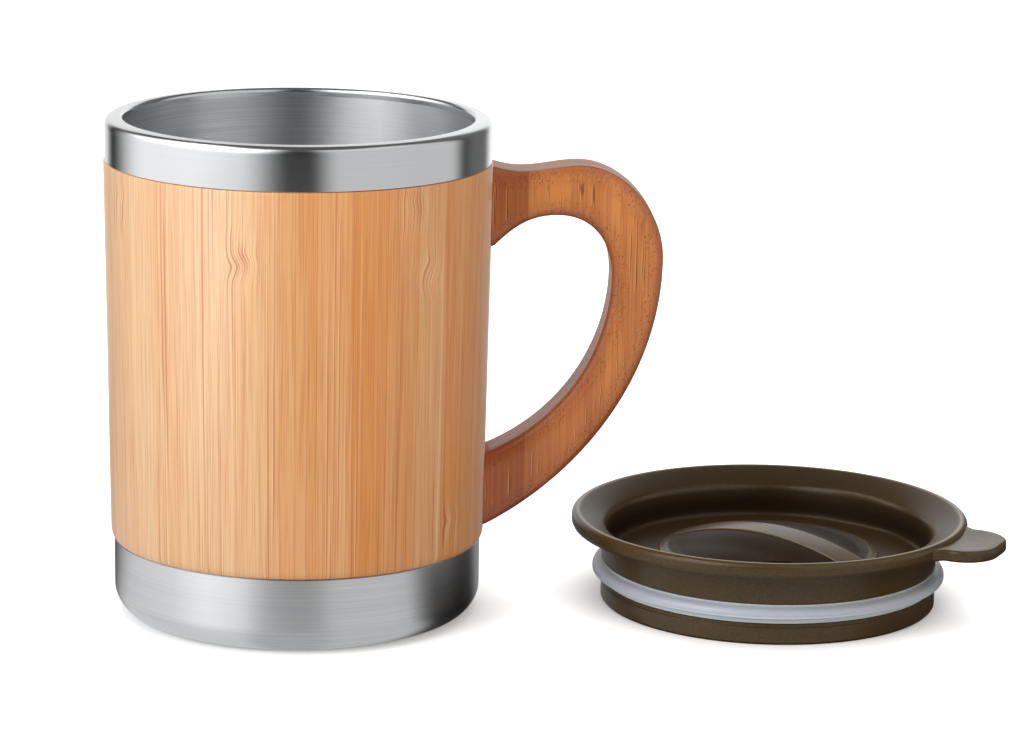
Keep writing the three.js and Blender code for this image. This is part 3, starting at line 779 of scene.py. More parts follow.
def dish_shade_and_glint(place, lid):
    """How far painted shade darkens the lid's plastic and takes its coat away, in its dish and on the
    brim's slope, and how bright a painted highlight runs along its crest.
    """
    reach, height = place.reach(), place.parts()[2]
    wall = lid.plug_radius - lid.dish_wall + lid.dish_draft
    crest = lid.flange_radius - lid.brim_round_width
    inside = 1 - reach.between(wall - 0.5 * MM, wall + 0.3 * MM)
    upright = height.between(lid.dish_floor + 0.2 * MM, lid.dish_floor + 2 * MM)
    inwards = 1 - reach.between(crest - 1.0 * MM, crest - 0.2 * MM)
    slope = inwards * height.between(lid.flange_bottom - 0.6 * MM, lid.flange_bottom)
    # Painted shade in the dish, fullest up its wall, and lighter painted shade on the brim's slope
    dull_and_shade = place.maths("MAXIMUM", inside * (0.55 + 0.45 * upright), slope * 0.45)
    topmost = height.between(lid.flange_top - 0.5 * MM, lid.flange_top - 0.1 * MM)
    # Painted highlight along the brim's crest
    painted_edge_glint = (1 - abs(reach - crest).between(*EDGE_GLINT_WIDTH)) * topmost * 0.7
    return dull_and_shade, painted_edge_glint


def dial_shade_and_glint(place, lid):
    """How far the dial's plastic is darkened and its coat taken away in its two scoops, partly for their
    matte texture and partly as painted shade, and how bright a painted highlight runs along its grip bar's
    edges.
    """
    over = (-math.sin(lid.dial_angle), math.cos(lid.dial_angle), 0)
    aside = abs(place.vector("DOT_PRODUCT", over, output="Value"))
    half, rim = lid.bar_width / 2, lid.dial_radius - lid.scoop_rim
    beside = aside.between(half + 0.1 * MM, half + 0.3 * MM)
    # Darker and less glossy in the scoops: partly their matte texture, partly painted shade
    dull_and_shade = beside * (1 - place.reach().between(rim - 0.9 * MM, rim)) * 0.85
    # Painted highlight along the grip bar's edges
    painted_edge_glint = (1 - (abs(aside - half) * 3).between(*EDGE_GLINT_WIDTH)) * 0.35
    return dull_and_shade, painted_edge_glint


def moulded_plastic(colours, name, lid, shade_and_glint):
    """Brown plastic with the fine grain of its mould. Its gloss is a thin coat. A function gives where
    painted shade darkens the plastic and takes that coat away, and where a painted highlight runs pale
    along its edges."""

    def paint(shade):
        place = place_of(shade)
        grain = place.noise(2600, 2, 0.6)
        cloud = place.noise(90, 3)
        dull_and_shade, painted_edge_glint = shade_and_glint(place_of(shade, (lid.centre_x, lid.centre_y, 0)), lid)
        speck = grain.between(0.35, 0.75)
        skin = (speck * 0.7 + (cloud - 0.5) * 0.3).mix(colours.plastic, colours.plastic_grain)
        return {
            "Base Color": painted_edge_glint.mix(dull_and_shade.mix(skin, colours.plastic_painted_shade), colours.plastic_edge_glint),
            "Roughness": 0.50 + 0.16 * grain,
            "Specular IOR Level": 0.22,
            "Specular Tint": colours.plastic_gloss,
            "Coat Weight": (1 - dull_and_shade) * (0.54 + 0.45 * speck),
            "Coat IOR": 1.5,
            "Coat Roughness": 0.24,
            "Normal": bumped(shade, grain, 0.1 * MM, 0.55),
        }

    return finish(name, paint)


def clear_silicone(colours, low=0.0, high=1.0):
    """Milky silicone that lets some light through, with painted highlights along its edges at a low and a
    high height.
    """

    def paint(shade):
        place = place_of(shade)
        height = place.parts()[2]
        cloud = place.noise(160, 3)
        low_edge = 1 - height.between(low + 0.2 * MM, low + 0.7 * MM)
        high_edge = height.between(high - 0.5 * MM, high - 0.1 * MM)
        # Painted highlight along the edges at the low and the high height
        edge = (low_edge + high_edge) * 0.9 + cloud * 0.1
        return {
            "Base Color": edge.mix(colours.silicone, colours.silicone_painted_glint),
            "Roughness": 0.28 + 0.14 * cloud,
            "IOR": 1.41,
            "Transmission Weight": 0.2,
            "Subsurface Weight": 0.25,
            "Subsurface Scale": 2 * MM,
        }

    return finish("clear_silicone", paint)


def seen_rays(shade):
    """1 for what the camera, reflections and clear pieces see, and 0 for the light between surfaces."""
    camera = shade.node("LightPath", output="Is Camera Ray")
    seen = shade.maths("MAXIMUM", camera, camera.out("Is Glossy Ray"))
    return shade.maths("MAXIMUM", seen, camera.out("Is Transmission Ray"))


def floor_white(studio):
    """A floor whose white is partly its own and less near the mug, so that only soft shadows show. Where
    something stands close above it, ambient occlusion darkens that white into a painted contact shadow."""

    def paint(shade):
        seen = seen_rays(shade)
        far = place_of(shade).reach().between(0.25, 0.9)
        # Painted contact shadow: ambient occlusion darkens the floor's own white
        clear = shade.node("AmbientOcclusion", {"samples": 8}, {"Distance": studio.contact}, output="AO")
        cloth = part(studio.floor_tone, studio.floor_shown, seen)
        white = seen * part(studio.floor_glow, 1, far) * clear
        lit = shade.node("BsdfDiffuse", {}, {"Color": cloth})
        glow = shade.node("Emission", {}, {"Color": white})
        return {"Surface": shade.node("AddShader", {}, {0: lit, 1: glow})}

    return finish("floor", paint, "OUTPUT_MATERIAL")


def surround_light(studio, lid):
    """What reflections see round the mug: softboxes to the left and right, brightest up on the left, a pale
    backdrop and dark cards between them. A roof repeats the boxes, and an apron near the mug stands for the
    lit floor."""

    def paint(shade):
        place = place_of(shade)
        across, back, height = place.parts()
        angle = shade.maths("ARCTAN2", across, back * -1) * (360 / TURN)
        flat = place.reach()

        left = angle.stretch(*LEFT_BOX) * (1 - 0.25 * angle.between(-84, -30))
        boxes = left * (1.2 + 1.6 * height.between(0.22, 0.45)) + angle.stretch(*RIGHT_BOX) * 0.72
        backdrop = abs(angle).between(140, 158) * (1 - height.between(0.42, 0.58))
        wall = studio.dark + boxes + backdrop * studio.backdrop + 0.14 * angle.between(108, 124)

        sides = angle.stretch(*LEFT_APRON) * 0.78 + angle.stretch(*RIGHT_APRON) * 0.67
        ends = angle.stretch(*FRONT_APRON) * 0.56 + angle.between(122, 140) * 0.3
        # Painted shadow: the apron darkens where the lid stands, as the floor under it is shaded
        from_lid = place_of(shade, (lid.centre_x, lid.centre_y, 0)).reach()
        apron = (studio.dark + sides + ends) * part(0.12, 1, from_lid.between(40 * MM, 58 * MM))

        round_it = part(apron, wall, flat.between(0.24, 0.42))
        overhead = studio.roof + boxes * flat.between(0.25, 0.45) * 1.2
        roof = height.between(studio.tent_height * 0.9, studio.tent_height)
        return {"Surface": shade.node("Emission", {}, {"Color": part(round_it, overhead, roof)})}

    return finish("surround", paint, "OUTPUT_MATERIAL")


# Operators


def sleeve_radius(mug, height):
    """The sleeve's outside at a height: a straight taper from its top to its foot."""
    top = mug.height - mug.band_height
    return part(mug.sleeve_foot, mug.sleeve_top, (height - mug.base_height) / (top - mug.base_height))


def liner_profile(mug):
    """The liner's section: up its outside, over the flange under the lip, and down its inside, with a
    smooth step where it draws in and a round corner to its floor."""
    low = mug.mouth_radius - mug.liner_step
    under = mug.height - mug.lip_depth
    step = mug.height - mug.liner_straight - mug.liner_shoulder
    flange = mug.mouth_radius + mug.liner_flange
    corner = (low - mug.liner_corner, mug.liner_floor + mug.liner_corner)
    along = np.linspace(0, 1, 13)[:, None]
    draw = np.hstack([low + mug.liner_step * eased(along), step + mug.liner_shoulder * along])
    return np.concatenate(
        [
            [[0, mug.liner_floor - mug.wall]],
            arc(corner, mug.liner_corner + mug.wall, (-90, 0), 16),
            draw + [mug.wall, 0],
            [[mug.mouth_radius + mug.wall, under - mug.wall], [flange, under - mug.wall]],
            [[flange, under], [mug.mouth_radius, under]],
            draw[::-1],
            arc(corner, mug.liner_corner, (0, -90), 16),
            [[0, mug.liner_floor]],
        ]
    )


def collar_profile(mug):
    """The collar's section: up its outside, over a shoulder, a cubic curve, and round the crest."""
    outside, inside = mug.rim_radius, mug.rim_radius - mug.wall
    bottom = mug.height - mug.band_height
    turn = mug.height - mug.lip_fall
    under = mug.height - mug.lip_depth
    shoulder = [
        (outside, turn - 1.2 * mug.lip_round),
        (outside, turn),
        (outside - 0.6 * mug.lip_round, mug.height - 0.25 * mug.lip_fall),
        (outside - 1.6 * mug.lip_round, mug.height - 0.14 * mug.lip_fall),
    ]
    return np.concatenate(
        [
            [[inside, bottom], [outside - mug.band_edge, bottom], [outside, bottom + mug.band_edge]],
            bezier(shoulder, 18),
            arc((mug.mouth_radius + mug.lip_fall, turn), mug.lip_fall, (90, 180)),
            [[mug.mouth_radius, under], [inside, under]],
        ]
    )


def foot_profile(mug):
    """The foot's section: a round corner, an upright wall, and a neck that goes up inside the sleeve."""
    top, neck_top = mug.base_height, mug.base_height + mug.base_neck
    neck = mug.mouth_radius + mug.wall
    shelf = mug.base_height - mug.wall
    corner = (mug.base_radius - mug.base_corner, mug.base_corner)
    return np.concatenate(
        [
            [[0, 0]],
            arc(corner, mug.base_corner, (-90, 0), 16),
            [[mug.base_radius, top - mug.base_edge], [mug.base_radius - mug.base_edge, top]],
            [[neck, top], [neck, neck_top], [neck - mug.wall, neck_top], [neck - mug.wall, shelf]],
            [[mug.base_radius - mug.wall, shelf]],
            arc(corner, mug.base_corner - mug.wall, (0, -90), 16),
            [[0, mug.wall]],
        ]
    )


class MUG_OT_steel(bpy.types.Operator):
    """Turns the steel liner, collar and foot"""

    bl_idname = "mug.steel"
    bl_label = "Steel Pieces"

    def execute(self, context):
        mug, colours = context.scene.mug_sizes, context.scene.mug_finishes
        for node, profile, slot, roughness, spread, grain in (
            ("inner_liner", liner_profile(mug), "liner_steel", 0.34, 0.8, 0.30),
            ("rim_band", collar_profile(mug), "rim_steel", 0.20, 0.7, 0.035),
            ("base_cup", foot_profile(mug), "base_steel", 0.32, 0.8, 0.20),
        ):
            steel = brushed_steel(colours, slot, roughness, spread, grain)
            dress(put(f"{node}_turned", turned(profile, mug.sides)), steel, "mug", slot, node)
        return {"FINISHED"}


class MUG_OT_sleeve(bpy.types.Operator):
    """Turns the bamboo sleeve"""

    bl_idname = "mug.sleeve"
    bl_label = "Bamboo Sleeve"

    def execute(self, context):
        mug, colours = context.scene.mug_sizes, context.scene.mug_finishes
        bore = mug.mouth_radius + mug.wall + mug.fit
        tongue = mug.rim_radius - mug.wall - mug.fit
        top = mug.height - mug.band_height
        tongue_top = mug.height - mug.lip_depth - mug.wall - 2 * mug.fit
        low = mug.base_height + mug.sleeve_edge_height
        high = top - mug.sleeve_chamfer_height
        rounding = (mug.sleeve_edge, mug.sleeve_edge_height)
        profile = np.concatenate(
            [
                [[bore, mug.base_height]],
                arc((sleeve_radius(mug, low) - mug.sleeve_edge, low), rounding, (-90, 0), 10),
                [[sleeve_radius(mug, high), high], [mug.sleeve_top - mug.sleeve_chamfer, top]],
                [[tongue, top], [tongue, tongue_top], [bore, tongue_top]],
            ]
        )
        sleeve = put("bamboo_sleeve_turned", turned(profile, mug.sides))
        dress(sleeve, sleeve_bamboo(colours), "mug", "sleeve_bamboo", "bamboo_sleeve")
        return {"FINISHED"}


def handle_edge(root, rise, crest, bend, foot, pulls):
    """One edge of the handle through (x, z) points: an arm from its root to its crest that leaves towards
    the height rise, a round bend, and a long sweep to its foot. Each is a cubic curve whose middle points
    are pulled along by shares of the way to the next point."""
    arm_out, arm_in, round_bend, sweep_down, sweep_in, sweep_up = pulls
    arm = [
        root,
        (part(root[0], crest[0], arm_out), rise),
        (part(crest[0], root[0], arm_in), crest[1]),
        crest,
    ]
    turn = [
        crest,
        (part(crest[0], bend[0], round_bend), crest[1]),
        (bend[0], part(bend[1], crest[1], round_bend)),
        bend,
    ]
    sweep = [
        bend,
        (bend[0], part(bend[1], foot[1], sweep_down)),
        (part(foot[0], bend[0], sweep_in), part(foot[1], bend[1], sweep_up)),
        foot,
    ]
    return np.concatenate([bezier(arm, 40)[:-1], bezier(turn, 60)[:-1], bezier(sweep, 90)])


def handle_edges(mug, handle):
    """The handle's outer and inner edges as matching points."""
    top_x, foot_x = mug.sleeve_top, mug.sleeve_foot
    crest = (top_x + handle.crest_reach, handle.top + handle.crest_rise)
    bend = (top_x + handle.reach, handle.top - handle.bend_depth)
    dip = handle.top - handle.arm_dip
    outer_pulls = (0.4, 0.35, 0.52, 0.46, 0.52, 0.175)
    outer = handle_edge((top_x, handle.top), dip, crest, bend, (foot_x, handle.foot), outer_pulls)
    gap_top, gap_foot = handle.top - handle.upper_root, handle.foot + handle.lower_root
    crown = (top_x + handle.gap_crown_reach, crest[1] - handle.arm_height)
    gap_bend = (bend[0] - handle.grip_width, crown[1] - handle.gap_bend_depth)
    gap_rise = part(gap_top, crown[1], 0.53)
    inner_pulls = (0.27, 0.48, 0.61, 0.4, 0.64, 0.18)
    inner = handle_edge((top_x, gap_top), gap_rise, crown, gap_bend, (foot_x, gap_foot), inner_pulls)
    return outer, inner


def handle_section(handle, width):
    """The section round the board, as distances across it from the inner edge, a row for each width, and
    distances out of its middle plane: straight faces and sides, with a cubic curve at each corner that runs
    far in over the face and a little down the side."""
    half, face, side = handle.thickness / 2, handle.edge_face, handle.edge_side
    rounding = [(face, half), (0.42 * face, half), (0, half - 0.22 * side), (0, half - side)]
    inset, out = bezier(rounding, 14).T
    run = np.linspace(0, 1, 8)[1:-1]
    edge_inset = np.concatenate([inset, 0 * run, inset[::-1]])
    edge_out = np.concatenate([out, (1 - 2 * run) * out[-1], -out[::-1]])
    face_run = face + (width - 2 * face) * run
    across = [width - edge_inset, face_run[:, ::-1], 0 * width + edge_inset, face_run]
    flat = np.full(len(run), half)
    return np.concatenate(across, axis=1), np.concatenate([edge_out, -flat, -edge_out, flat])


class MUG_OT_handle(bpy.types.Operator):
    """Carries the handle's round-edged section along between its two edges"""

    bl_idname = "mug.handle"
    bl_label = "Handle"

    def execute(self, context):
        scene = context.scene
        mug, handle, colours = scene.mug_sizes, scene.handle_sizes, scene.mug_finishes
        outer, inner = handle_edges(mug, handle)
        width = np.linalg.norm(outer - inner, axis=1, keepdims=True)
        across = (outer - inner) / width
        along, out = handle_section(handle, width)
        x = inner[:, :1] + across[:, :1] * along
        z = inner[:, 1:] + across[:, 1:] * along
        y = np.broadcast_to(out, x.shape)
        for end in (0, -1):
            x[end] = np.sqrt((sleeve_radius(mug, z[end]) + handle.seat) ** 2 - y[end] ** 2)
        grid = np.stack([x, y, z], axis=-1)
        board = put("handle_board", tube(grid, grid[[0, -1]].mean(axis=1)))
        inset = np.concatenate([np.minimum(along, width - along).ravel(), np.full(2, handle.edge_face)])
        attribute = board.data.attributes.new("inset", "FLOAT", "POINT")
        attribute.data.foreach_set("value", inset.astype(np.float32))
        dress(board, handle_bamboo(colours, handle), "mug", "handle_bamboo", "handle")
        board.visible_glossy = False
        return {"FINISHED"}


def slot_reach(length_across, width, angle):
    """Distance from a round-ended slot's middle to its edge in a direction: the straight side where that is
    met first, and otherwise the end's circle."""
    half, radius = (length_across - width) / 2, width / 2
    cosine, sine = np.abs(np.cos(angle)), np.abs(np.sin(angle))
    side = radius / np.maximum(sine, TINY)
    end = half * cosine + np.sqrt(np.maximum(radius**2 - (half * sine) ** 2, 0))
    return np.where(side * cosine <= half, side, end)


def slot_shell(lid, turn, centre, low, high):
    """The sip port's slot as a closed upright shell between two heights: its edge in each direction from
    its middle, which lies ahead of the dial's axis, turned about that axis."""
    angle = np.linspace(0, TURN, 96, endpoint=False)
    reach = slot_reach(lid.port_length, lid.port_width, angle)
    x, y = reach * np.cos(angle), reach * np.sin(angle) - lid.port_distance
    grid = np.stack([np.column_stack([x, y, np.full_like(x, height)]) for height in (low, high)])
    points, faces = tube(grid, [[0, -lid.port_distance, height] for height in (low, high)])
    return turned_about(points, turn, centre), faces


class MUG_OT_lid(bpy.types.Operator):
    """Turns the lid's dish and plug, and adds its thumb tab and sip hole"""

    bl_idname = "mug.lid"
    bl_label = "Lid"

    def execute(self, context):
        scene = context.scene
        lid, colours = scene.lid_sizes, scene.mug_finishes
        centre = (lid.centre_x, lid.centre_y)
        under = lid.dish_floor - lid.floor_wall
        body = turned(self.profile(lid, scene.mug_sizes.fit), lid.sides, centre)
        piece = put("lid_body_moulded", together(body, self.tab(lid, centre)), LID_CREASE)
        hole_turn = lid.dial_angle + lid.port_angle - lid.dial_turn
        hole = slot_shell(lid, hole_turn, centre, under - MM, lid.dish_floor + lid.dial_gap / 2)
        cut(piece, hole, LID_CREASE)
        plastic = moulded_plastic(colours, "lid_plastic", lid, dish_shade_and_glint)
        dress(piece, plastic, "lid", "lid_plastic", "lid_body")
        return {"FINISHED"}

    def profile(self, lid, fit):
        """The lid's section: up the plug's outside past the gasket's groove, out under the brim, over its
        crest, and down the slope and the dish's wall to the stem's hole in the floor."""
        plug, bore = lid.plug_radius, lid.plug_radius - lid.plug_wall
        step, groove = plug - lid.foot_step, plug - lid.groove_depth
        groove_top = lid.groove_low + lid.groove_height
        dish = plug - lid.dish_wall
        under = lid.dish_floor - lid.floor_wall
        stem = lid.stem_radius + fit
        plain, fine = lid.plug_round, lid.fine_round
        rounding = (lid.brim_round_width, lid.brim_round_height)
        crest = (lid.flange_radius - rounding[0], lid.flange_top - rounding[1])
        return softened(
            [
                (bore, 0, plain),
                (plug - lid.foot_edge, 0, plain),
                (plug, lid.foot_edge, plain),
                (plug, lid.foot_step_height, fine),
                (step, lid.foot_step_height, fine),
                (step, lid.groove_low, fine),
                (groove, lid.groove_low, fine),
                (groove, groove_top, fine),
                (plug, groove_top, plain),
                (plug, lid.flare_start, lid.flare_round),
                (lid.flange_radius - lid.flange_edge / 2, lid.flange_bottom, lid.flange_low_round),
                (lid.flange_radius, lid.flange_bottom + lid.flange_edge, lid.flange_high_round),
                *((*point, 0.0) for point in arc(crest, rounding, (0, 100), 14)),
                (dish + lid.dish_draft, lid.flange_top - lid.brim_depth, lid.slope_round),
                (dish, lid.dish_floor, lid.dish_corner),
                (stem, lid.dish_floor, fine),
                (stem, under, fine),
                (bore, under, lid.flare_round),
            ]
        )

    def tab(self, lid, centre):
        """The thumb tab: a rounded outline drawn in towards its middle line, ring by ring, over a rounded
        edge and a slightly dished top, so that each ring is the outline times a share plus the middle line
        times the rest."""
        half, tip, thick, edge = lid.tab_width / 2, lid.tab_round, lid.tab_thickness, lid.tab_edge
        root, end = lid.flange_radius - lid.tab_root, lid.flange_radius + lid.tab_reach
        start, wide = lid.flange_radius + lid.tab_clear, half + lid.tab_flare
        outline = np.concatenate(
            [
                [[root, -wide], [start, -half]],
                arc((end - tip, tip - half), tip, (-90, 0), 20),
                arc((end - tip, half - tip), tip, (0, 90), 20),
                [[start, half], [root, wide]],
            ]
        )
        rim = np.concatenate([arc((0, edge), edge, (-90, 0), 6), arc((0, thick - edge), edge, (0, 90), 6)])
        middle_x = np.clip(outline[:, 0], root + 0.6 * half, end - half)
        middle = np.column_stack([middle_x, np.zeros(len(outline))])
        distance = np.linalg.norm(outline - middle, axis=1, keepdims=True)
        away = (outline - middle) / distance
        shares = np.array([0.82, 0.62, 0.42, 0.22, 0.0])
        rings = [middle + away * (distance - inset) for inset in edge - rim[:, 0]]
        flat = [middle + away * (distance - edge) * along for along in shares]
        plan = np.stack(flat[::-1] + rings + flat)
        top = thick - lid.tab_dip * (1 - shares**2)
        rise = np.concatenate([0 * shares, rim[:, 1], top]) + lid.flange_bottom
        height = np.broadcast_to(rise[:, None, None], (*plan.shape[:2], 1))
        points = np.concatenate([plan, height], axis=2).reshape(-1, 3)
        return turned_about(points, lid.tab_angle, centre), [grid_faces(*plan.shape[:2], rows_close=False)]


class MUG_OT_gasket(bpy.types.Operator):
    """Turns the lid's silicone gasket"""

    bl_idname = "mug.gasket"
    bl_label = "Gasket"

    def execute(self, context):
        scene = context.scene
        mug, lid, colours = scene.mug_sizes, scene.lid_sizes, scene.mug_finishes
        inside = lid.plug_radius - lid.groove_depth + mug.fit
        outside = lid.plug_radius - lid.foot_step
        low, high = lid.groove_low + mug.fit, lid.groove_low + lid.groove_height - mug.fit
        reach = mug.mouth_radius + lid.mouth_squeeze
        drop, skirt, bead = lid.gasket_drop, lid.gasket_skirt, lid.gasket_skirt / 2
        foot, within = high - drop, reach - skirt
        over = [
            (reach - bead / 2, foot + bead),
            (reach, high - 0.55 * drop),
            (reach - bead, high - bead),
            (outside, high - bead / 2),
        ]
        under = [
            (outside, high - skirt - bead),
            (within - bead, high - skirt - bead),
            (within, high - 0.6 * drop),
            (within - bead / 2, foot + bead),
        ]
        profile = np.concatenate(
            [
                [[inside, low], [outside, low]],
                bezier(under, 12),
                arc((reach - skirt / 2 - bead / 2, foot + bead), bead, (180, 360), 8)[1:-1],
                bezier(over, 16),
                [[outside, high], [inside, high]],
            ]
        )
        gasket = put("lid_gasket_turned", turned(profile, lid.sides, (lid.centre_x, lid.centre_y)))
        dress(gasket, clear_silicone(colours, foot, high), "lid", "gasket_silicone", "lid_gasket")
        return {"FINISHED"}


class MUG_OT_dial(bpy.types.Operator):
    """Shapes the closure dial with its grip bar, finger scoops, sip port and stem"""

    bl_idname = "mug.dial"
    bl_label = "Closure Dial"

    def execute(self, context):
        scene = context.scene
        lid, colours, fit = scene.lid_sizes, scene.mug_finishes, scene.mug_sizes.fit
        centre = (lid.centre_x, lid.centre_y)
        points, faces = self.disc(lid)
        disc = turned_about(points, lid.dial_angle, centre), faces
        stem = turned(self.stem(lid, fit), 64, centre)
        dial = put("closure_dial_moulded", together(disc, stem), LID_CREASE)
        bottom = lid.dish_floor + lid.dial_gap
        outside, inside = lid.seal_radius + fit, lid.seal_radius - lid.seal_width - fit
        low, high = bottom - MM, bottom + lid.seal_height
        groove = turned([(inside, low), (outside, low), (outside, high), (inside, high)], 160, centre)
        cut(dial, groove, LID_CREASE)
        crest = bottom + lid.dial_edge + lid.dial_crown
        cut(dial, slot_shell(lid, lid.dial_angle + lid.port_angle, centre, low, crest), LID_CREASE)
        plastic = moulded_plastic(colours, "dial_plastic", lid, dial_shade_and_glint)
        dress(dial, plastic, "dial", "lid_plastic", "closure_dial")
        return {"FINISHED"}

    def stem(self, lid, fit):
        """The stem's section, from its chamfered end up past the washer's groove and into the dial."""
        radius, groove = lid.stem_radius, lid.stem_radius - lid.clip_grip
        clip_top = lid.dish_floor - lid.floor_wall - lid.dial_gap + fit
        clip_foot = clip_top - lid.clip_thickness - 2 * fit
        held = lid.dish_floor + lid.dial_gap + lid.stem_hold
        return [
            (0, lid.stem_end),
            (radius - lid.stem_edge, lid.stem_end),
            (radius, lid.stem_end + lid.stem_edge),
            (radius, clip_foot),
            (groove, clip_foot),
            (groove, clip_top),
            (radius, clip_top),
            (radius, held),
            (0, held),
        ]

    def top(self, lid, x, y):
        """The dial's height at a point: a crowned disc, edge plus crown times one less the radius squared.
        Beside the grip bar it is lowered by a scoop, which starts with a thin step, falls away from the bar
        and eases out towards the rim."""
        radius = np.hypot(x, y)
        crown = lid.dial_crown * (1 - (radius / lid.dial_radius) ** 2)
        dome = lid.dish_floor + lid.dial_gap + lid.dial_edge + crown
        aside = np.abs(y) - lid.bar_width / 2
        depth = lid.scoop_depth * (0.4 + 1.2 * eased(aside / lid.scoop_fall))
        inwards = lid.dial_radius - lid.scoop_rim - radius
        return dome - depth * eased(aside / lid.scoop_step) * eased(inwards / lid.scoop_ease)

    def disc(self, lid):
        """The dial as chords along its grip bar, closest at the bar's sides, laid over the top and again
        under the bottom. Rings that lean out by the sine and fall by the cosine of an angle join the two
        round the rim."""
        edge, bottom = lid.dial_round, lid.dish_floor + lid.dial_gap
        flat = lid.dial_radius - edge
        beside = lid.bar_width / 2 + np.linspace(-0.2 * MM, 0.5 * MM, 19)
        even = flat * np.sin(np.radians(np.linspace(-86, 86, 121)))
        chords = np.unique(np.concatenate([even, beside, -beside]))
        half = np.sqrt(flat**2 - chords**2)
        x = half[:, None] * np.linspace(-1, 1, 161)
        y = np.broadcast_to(chords[:, None], x.shape)
        over = np.stack([x, y, self.top(lid, x, y)], axis=-1).reshape(-1, 3)
        under = over * [1, 1, 0] + [0, 0, bottom]
        rows, columns = x.shape
        number = np.arange(rows * columns).reshape(rows, columns)
        loop = np.concatenate([number[0], number[1:, -1], number[-1, -2::-1], number[-2:0:-1, 0]])
        lean = np.radians(np.linspace(15, 90, 6))[:, None, None]
        out = 1 + edge * np.sin(lean) / flat
        rings = over[loop] * np.concatenate([out, out, np.ones_like(out)], axis=2)
        rings = rings - [0, 0, edge] * (1 - np.cos(lean))
        foot = rings[-1:] * [1, 1, 0] + [0, 0, bottom + edge]
        rings = np.concatenate([rings, foot]).reshape(-1, 3)
        count = len(over)
        between = 2 * count + np.arange(len(rings)).reshape(-1, len(loop))
        index = np.vstack([loop, between, loop + count])
        following = np.roll(index, -1, axis=1)
        wall = np.stack([index[:-1], index[1:], following[1:], following[:-1]], axis=-1).reshape(-1, 4)
        sheet = grid_faces(rows, columns, rows_close=False, columns_close=False)
        return np.concatenate([over, under, rings]), [sheet, sheet[:, ::-1] + count, wall]


class MUG_OT_small_parts(bpy.types.Operator):
    """Finishes the hidden screws, washer and ring, which keep their own solids"""

    bl_idname = "mug.small_parts"
    bl_label = "Small Parts"

    def execute(self, context):
        colours = context.scene.mug_finishes
        zinc, ring = zinc_steel(colours), clear_silicone(colours)
        for node, material in (
            ("upper_handle_screw", zinc),
            ("lower_handle_screw", zinc),
            ("dial_retainer", zinc),
            ("dial_seal", ring),
        ):
            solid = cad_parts[node].data
            solid.materials.clear()
            solid.materials.append(material)
        return {"FINISHED"}


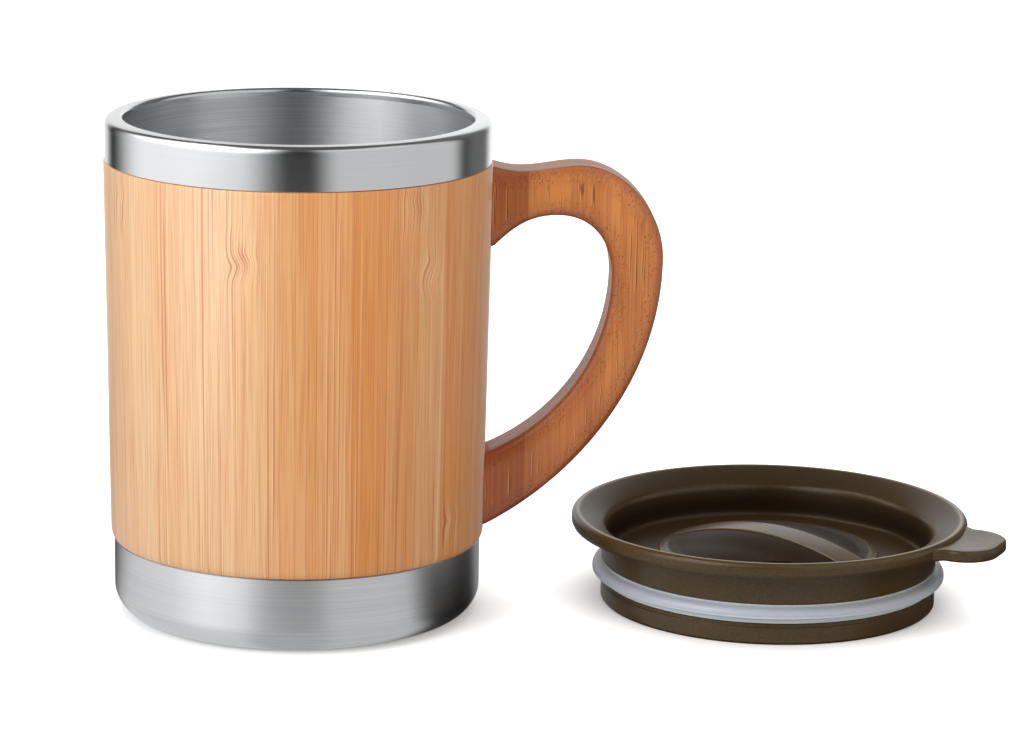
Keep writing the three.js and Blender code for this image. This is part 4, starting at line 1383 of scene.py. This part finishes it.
class MUG_OT_stage(bpy.types.Operator):
    """Sets the floor, the light and the camera"""

    bl_idname = "mug.stage"
    bl_label = "Studio"

    def execute(self, context):
        scene = context.scene
        studio = scene.mug_studio
        scene.view_settings.view_transform = "Standard"
        self.camera(scene, studio)
        self.world(scene, studio)
        self.floor(studio)
        self.surround(studio, scene.lid_sizes)
        for name, place, size, power, tint, reflected in (
            ("key", (-0.95, -0.7, 0.6), (0.8, 1.2), studio.key_power, studio.key_colour, True),
            ("fill", (0.8, -0.95, 0.55), (0.8, 0.9), studio.fill_power, studio.fill_colour, False),
            ("top", (0.05, 0.25, 1.1), (1.0, 1.0), studio.top_power, studio.key_colour, False),
        ):
            lamp = self.softbox(scene, name, place, size)
            lamp.data.energy = power
            lamp.data.color = tint[:3]
            lamp.visible_glossy = reflected
        return {"FINISHED"}

    def camera(self, scene, studio):
        """Turns a level camera that looks along +Y by its roll, then its pitch, then its yaw."""
        data = bpy.data.cameras.new("camera")
        data.sensor_width = SENSOR_WIDTH
        data.lens = SENSOR_WIDTH * studio.focal_widths
        data.clip_start, data.clip_end = SIGHT
        camera = bpy.data.objects.new("camera", data)
        scene.collection.objects.link(camera)
        turn = Matrix.Rotation(-studio.camera_yaw, 4, "Z")
        turn = turn @ Matrix.Rotation(math.pi / 2 - studio.camera_pitch, 4, "X")
        turn = turn @ Matrix.Rotation(studio.camera_roll, 4, "Z")
        camera.matrix_world = Matrix.Translation((0, -studio.camera_distance, studio.camera_height)) @ turn
        scene.camera = camera

    def world(self, scene, studio):
        """White where the camera and reflections see it, and a soft light all round otherwise."""
        scene.world = bpy.data.worlds.new("studio")
        shade, background = wired(scene.world, "BACKGROUND")
        strength = part(studio.ambient, 1, seen_rays(shade))
        shade.feed(background, {"Color": (1, 1, 1, 1), "Strength": strength})

    def floor(self, studio):
        """A wide flat floor, just under what stands on it, that reflections don't see."""
        across = np.linspace(-FLOOR_HALF, FLOOR_HALF, 9)
        x, y = np.meshgrid(across, across, indexing="xy")
        points = np.stack([x, y, np.full_like(x, -studio.floor_drop)], axis=-1).reshape(-1, 3)
        floor = put("floor", (points, [grid_faces(*x.shape, rows_close=False, columns_close=False)]))
        floor.data.materials.append(floor_white(studio))
        floor.visible_glossy = False

    def surround(self, studio, lid):
        """A round tent about the mug that only reflections see."""
        radius, low, high = studio.tent_radius, -studio.tent_drop, studio.tent_height
        tent = put("surround", turned([(0, low), (radius, low), (radius, high), (0, high)], 64))
        tent.data.materials.append(surround_light(studio, lid))
        tent.visible_camera = False
        tent.visible_diffuse = False
        tent.visible_transmission = False
        tent.visible_shadow = False

    def softbox(self, scene, name, place, size):
        """A lamp of some width and height, turned to face the lit point."""
        data = bpy.data.lights.new(name, "AREA")
        data.shape = "RECTANGLE"
        data.size, data.size_y = size
        lamp = bpy.data.objects.new(name, data)
        scene.collection.objects.link(lamp)
        lamp.location = place
        aim = Vector(LIT_POINT) - lamp.location
        lamp.rotation_euler = aim.to_track_quat("-Z", "Y").to_euler()
        return lamp


class MUG_PT_panel(bpy.types.Panel):
    """Lists the mug's sizes, finishes and pieces"""

    bl_label = "Bamboo Mug"
    bl_space_type = "VIEW_3D"
    bl_region_type = "UI"
    bl_category = "Bamboo Mug"

    def draw(self, context):
        for step in STEPS:
            self.layout.operator(step.bl_idname)
        for name, group in GROUPS.items():
            column = self.layout.column()
            for key in group.__annotations__:
                column.prop(getattr(context.scene, name), key)


GROUPS = {
    "mug_sizes": MugSizes,
    "handle_sizes": HandleSizes,
    "lid_sizes": LidSizes,
    "mug_finishes": Finishes,
    "mug_studio": Studio,
}
STEPS = (
    MUG_OT_steel,
    MUG_OT_sleeve,
    MUG_OT_handle,
    MUG_OT_lid,
    MUG_OT_gasket,
    MUG_OT_dial,
    MUG_OT_small_parts,
    MUG_OT_stage,
)


def register():
    for group in (*GROUPS.values(), *STEPS, MUG_PT_panel):
        bpy.utils.register_class(group)
    for name, group in GROUPS.items():
        setattr(bpy.types.Scene, name, PointerProperty(type=group))


def unregister():
    for name in GROUPS:
        delattr(bpy.types.Scene, name)
    for group in reversed((*GROUPS.values(), *STEPS, MUG_PT_panel)):
        bpy.utils.unregister_class(group)


def main():
    """Registers the add-on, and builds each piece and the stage."""
    register()
    for step in STEPS:
        space, name = step.bl_idname.split(".")
        getattr(getattr(bpy.ops, space), name)()


if __name__ == "__main__":
    main()
